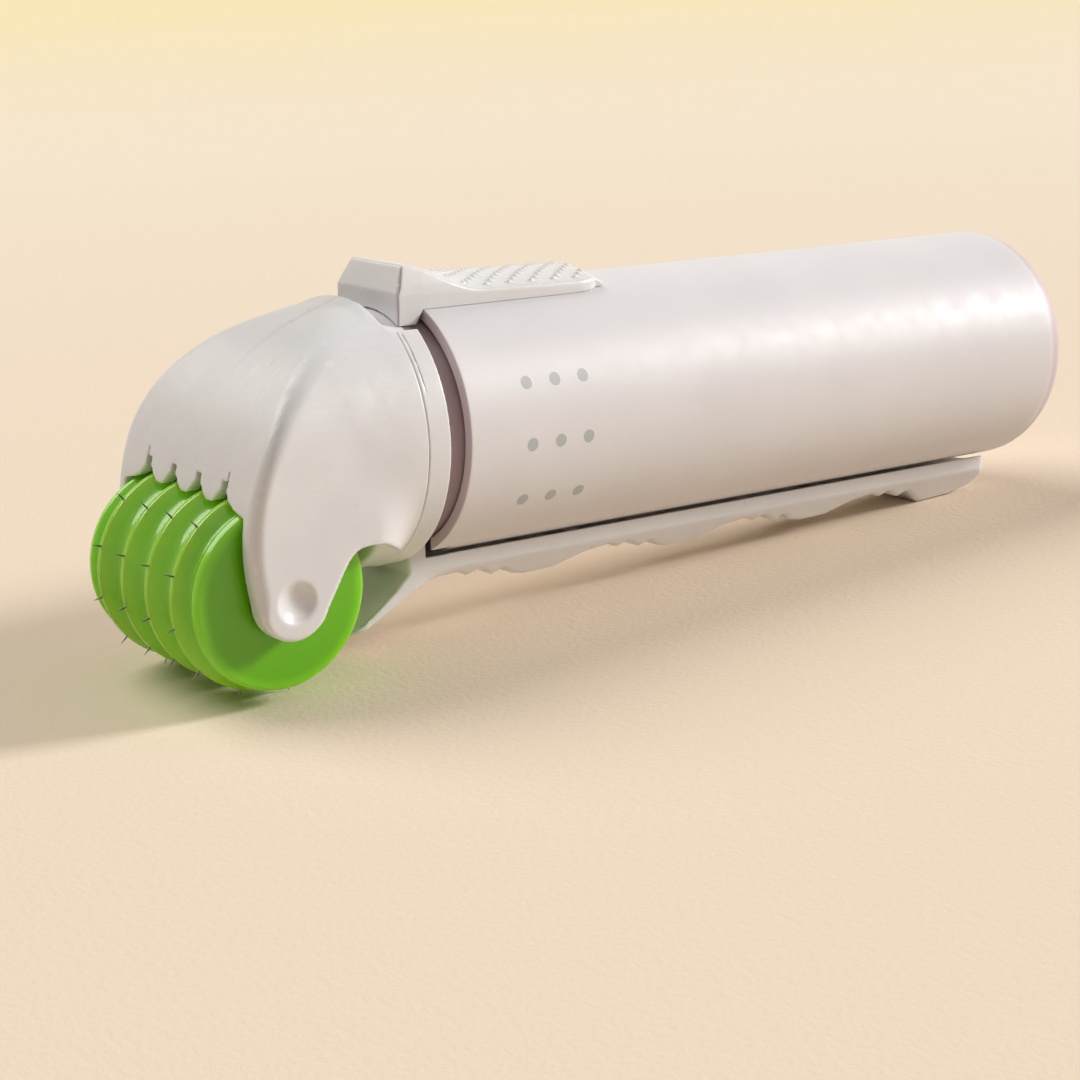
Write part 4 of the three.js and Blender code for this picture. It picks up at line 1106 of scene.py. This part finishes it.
def silicone():
    look = Look("milky_silicone", "silicone", (0.78, 0.78, 0.74), 0.5, Subsurface_Weight=0.4,
                Subsurface_Radius=(1.0, 0.95, 0.85), Subsurface_Scale=0.002)
    look.tint((0.74, 0.74, 0.695), (0.82, 0.82, 0.785), 0.5)
    look.rough(0.42, 0.6, 1.4)
    return look.relief((look.noise(0.8), 0.012), (look.noise(7), 0.003))


def vial_glass():
    look = Look("vial_glass_clear", "vial_glass", (0.97, 0.99, 0.985), 0.03, IOR=1.5,
                Transmission_Weight=0.94)
    look.tint((0.955, 0.98, 0.975), (0.985, 0.995, 0.99), 0.1)
    look.rough(0.015, 0.06, 0.5)
    return look.relief((look.noise(0.09, (0.4, 1, 1), 2), 0.04), (look.noise(0.5, detail=2), 0.004))


def crimp_aluminium():
    look = Look("crimped_aluminium", "crimp_aluminium", (0.78, 0.79, 0.80), 0.33, Metallic=1.0)
    look.tint((0.70, 0.71, 0.72), (0.84, 0.85, 0.86), 0.7)
    look.rough(0.24, 0.44, 1.6, (0.2, 1, 1))
    return look.relief((look.noise(0.9), 0.015), (look.noise(11, (0.1, 1, 1), 3), 0.004))


# ---- The roller ----

def make_roller():
    white = white_plastic("white_satin")
    green, steel = green_plastic(), needle_steel()
    delrin, rubber, milky = acetal(), seal_rubber(), silicone()
    make_hood(white_plastic("white_satin_hood", brow_shade, streaks=True))
    make_collar(white_plastic("white_satin_collar", neck_painted_shade))
    make_bar(white)
    make_pad(white_plastic("white_satin_pad", pad_groove_painted_shade))
    make_tube(pearl_plastic())
    make_discs(green)
    make_needles(steel)
    make_bearing(green, delrin, steel)
    make_vial(vial_glass(), rubber, crimp_aluminium(), delrin)
    make_rings(delrin, rubber, milky)
    make_spike(steel)
    make_nozzle(milky)
    make_spring("hold_spring", steel, 9, 6)
    coil = make_spring("return_spring", steel, 8.5, 3.5)
    low, high = box("return_spring")
    length = high[0] - low[0]
    stroke = joint("dose_slide")["range_m"][1] / MM
    (length - stroke) / length
    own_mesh(coil)


# ---- Floor, light and camera ----

camera_spot = Vector((144.3, 219.3, 51.1))
camera_aim = Vector((-18.96, 0, -17.23))
camera_roll = radians(-0.33)
lamp_distance = 500
floor_reach = 6.0  # metres


def look_at(spot, aim, roll=0.0):
    """Where a camera or lamp stands, in the row frame, from places in the handle's frame."""
    back = (spot - aim).normalized()
    right = Vector((0, 0, 1)).cross(back).normalized()
    up = back.cross(right)
    facing = Matrix((right, up, back)).transposed().to_4x4()
    stand = place @ spot
    return Matrix.Translation(stand) @ turn @ facing @ Matrix.Rotation(roll, 4, "Z")


def add_sun(name, towards, level, spread, colour):
    """A distant lamp in the direction towards, which lights a white surface facing it to the given level."""
    data = bpy.data.lights.new(name, "SUN")
    data.energy = level * pi
    data.angle = radians(spread)
    data.color = colour
    lamp = add_object(name, data)
    lamp.matrix_world = look_at(Vector(towards).normalized() * lamp_distance, Vector())


floor_shades = [(0.0, (0.87, 0.71, 0.56)), (0.11, (0.86, 0.71, 0.55)), (0.22, (0.88, 0.74, 0.58)),
                (0.42, (0.91, 0.79, 0.63)), (1.0, (0.93, 0.80, 0.49))]


def floor_paper():
    """Soft card: peach near the camera and pale yellow far behind, with a pressed grain."""
    material = bpy.data.materials.new("floor_card")
    material.use_nodes = True
    tree = material.node_tree
    spot = add_node(tree, "ShaderNodeTexCoord", output="Object")
    view = (camera_aim - camera_spot).to_2d()
    along_view = add_node(tree, "ShaderNodeMapping", {
        "Vector": spot, "Rotation": (0, 0, -atan2(view.y, view.x))})
    away = add_node(tree, "ShaderNodeSeparateXYZ", {0: along_view})
    share = add_node(tree, "ShaderNodeMapRange", {"Value": away, "From Min": -0.2, "From Max": 1.4})
    shade = add_node(tree, "ShaderNodeValToRGB", {0: share})
    stops = shade.output.node.color_ramp.elements
    while len(stops) < len(floor_shades):
        stops.new(0.5)
    for stop, (position, colour) in zip(stops, floor_shades):
        stop.position = position
        stop.color = (*colour, 1)
    grain = add_node(tree, "ShaderNodeTexNoise", {"Vector": spot, "Scale": 1300, "Detail": 3})
    bump = add_node(tree, "ShaderNodeBump", {"Height": grain, "Distance": 0.00006})
    shader = tree.nodes["Principled BSDF"]
    for socket, value in (("Base Color", shade), ("Roughness", 0.85), ("Specular IOR Level", 0.15),
                          ("Normal", bump)):
        feed(shader.inputs[socket], value)
    return material


def make_floor():
    mesh = bpy.data.meshes.new("floor")
    signs = ((-1, -1), (1, -1), (1, 1), (-1, 1))
    mesh.from_pydata([(floor_reach * a, floor_reach * b, 0) for a, b in signs], [], [(0, 1, 2, 3)])
    floor = add_object("floor", mesh)
    mesh.materials.append(floor_paper())


def make_world():
    """A dim room that lights the roller, seen as a pale backdrop by the camera and in reflections."""
    world = bpy.data.worlds.new("room")
    bpy.context.scene.world = world
    world.use_nodes = True
    tree = world.node_tree
    room = tree.nodes["Background"]
    feed(room.inputs["Color"], (0.98, 0.96, 0.94, 1))
    feed(room.inputs["Strength"], 0.14)
    seen = add_node(tree, "ShaderNodeBackground", {"Color": (0.90, 0.81, 0.64, 1)})
    share = add_node(tree, "ShaderNodeLightPath", output="Is Camera Ray")
    for ray in ("Is Glossy Ray", "Is Transmission Ray"):
        share = share.math("MAXIMUM", add_node(tree, "ShaderNodeLightPath", output=ray))
    mix = add_node(tree, "ShaderNodeMixShader", {0: share, 1: Value(room.outputs[0]), 2: seen})
    feed(tree.nodes["World Output"].inputs["Surface"], mix)


def make_light():
    add_sun("window", (-0.82, 0.38, 0.42), 0.92, 13, (1.0, 0.99, 0.99))
    add_sun("top", (0.36, -0.66, 0.88), 0.60, 45, (1.0, 0.98, 0.95))
    add_sun("fill", (-0.25, 0.55, 0.8), 0.06, 70, (0.98, 0.99, 1.0))


def make_camera():
    data = bpy.data.cameras.new("camera")
    data.lens = 78.52
    data.sensor_width = 36
    data.shift_x = 0.0090
    data.shift_y = 0.0064
    data.clip_start = 0.01
    camera = add_object("camera", data)
    camera.matrix_world = look_at(camera_spot, camera_aim, camera_roll)
    bpy.context.scene.camera = camera


make_camera()
make_roller()
make_floor()
make_world()
make_light()
bpy.context.scene.view_settings.view_transform = "Standard"
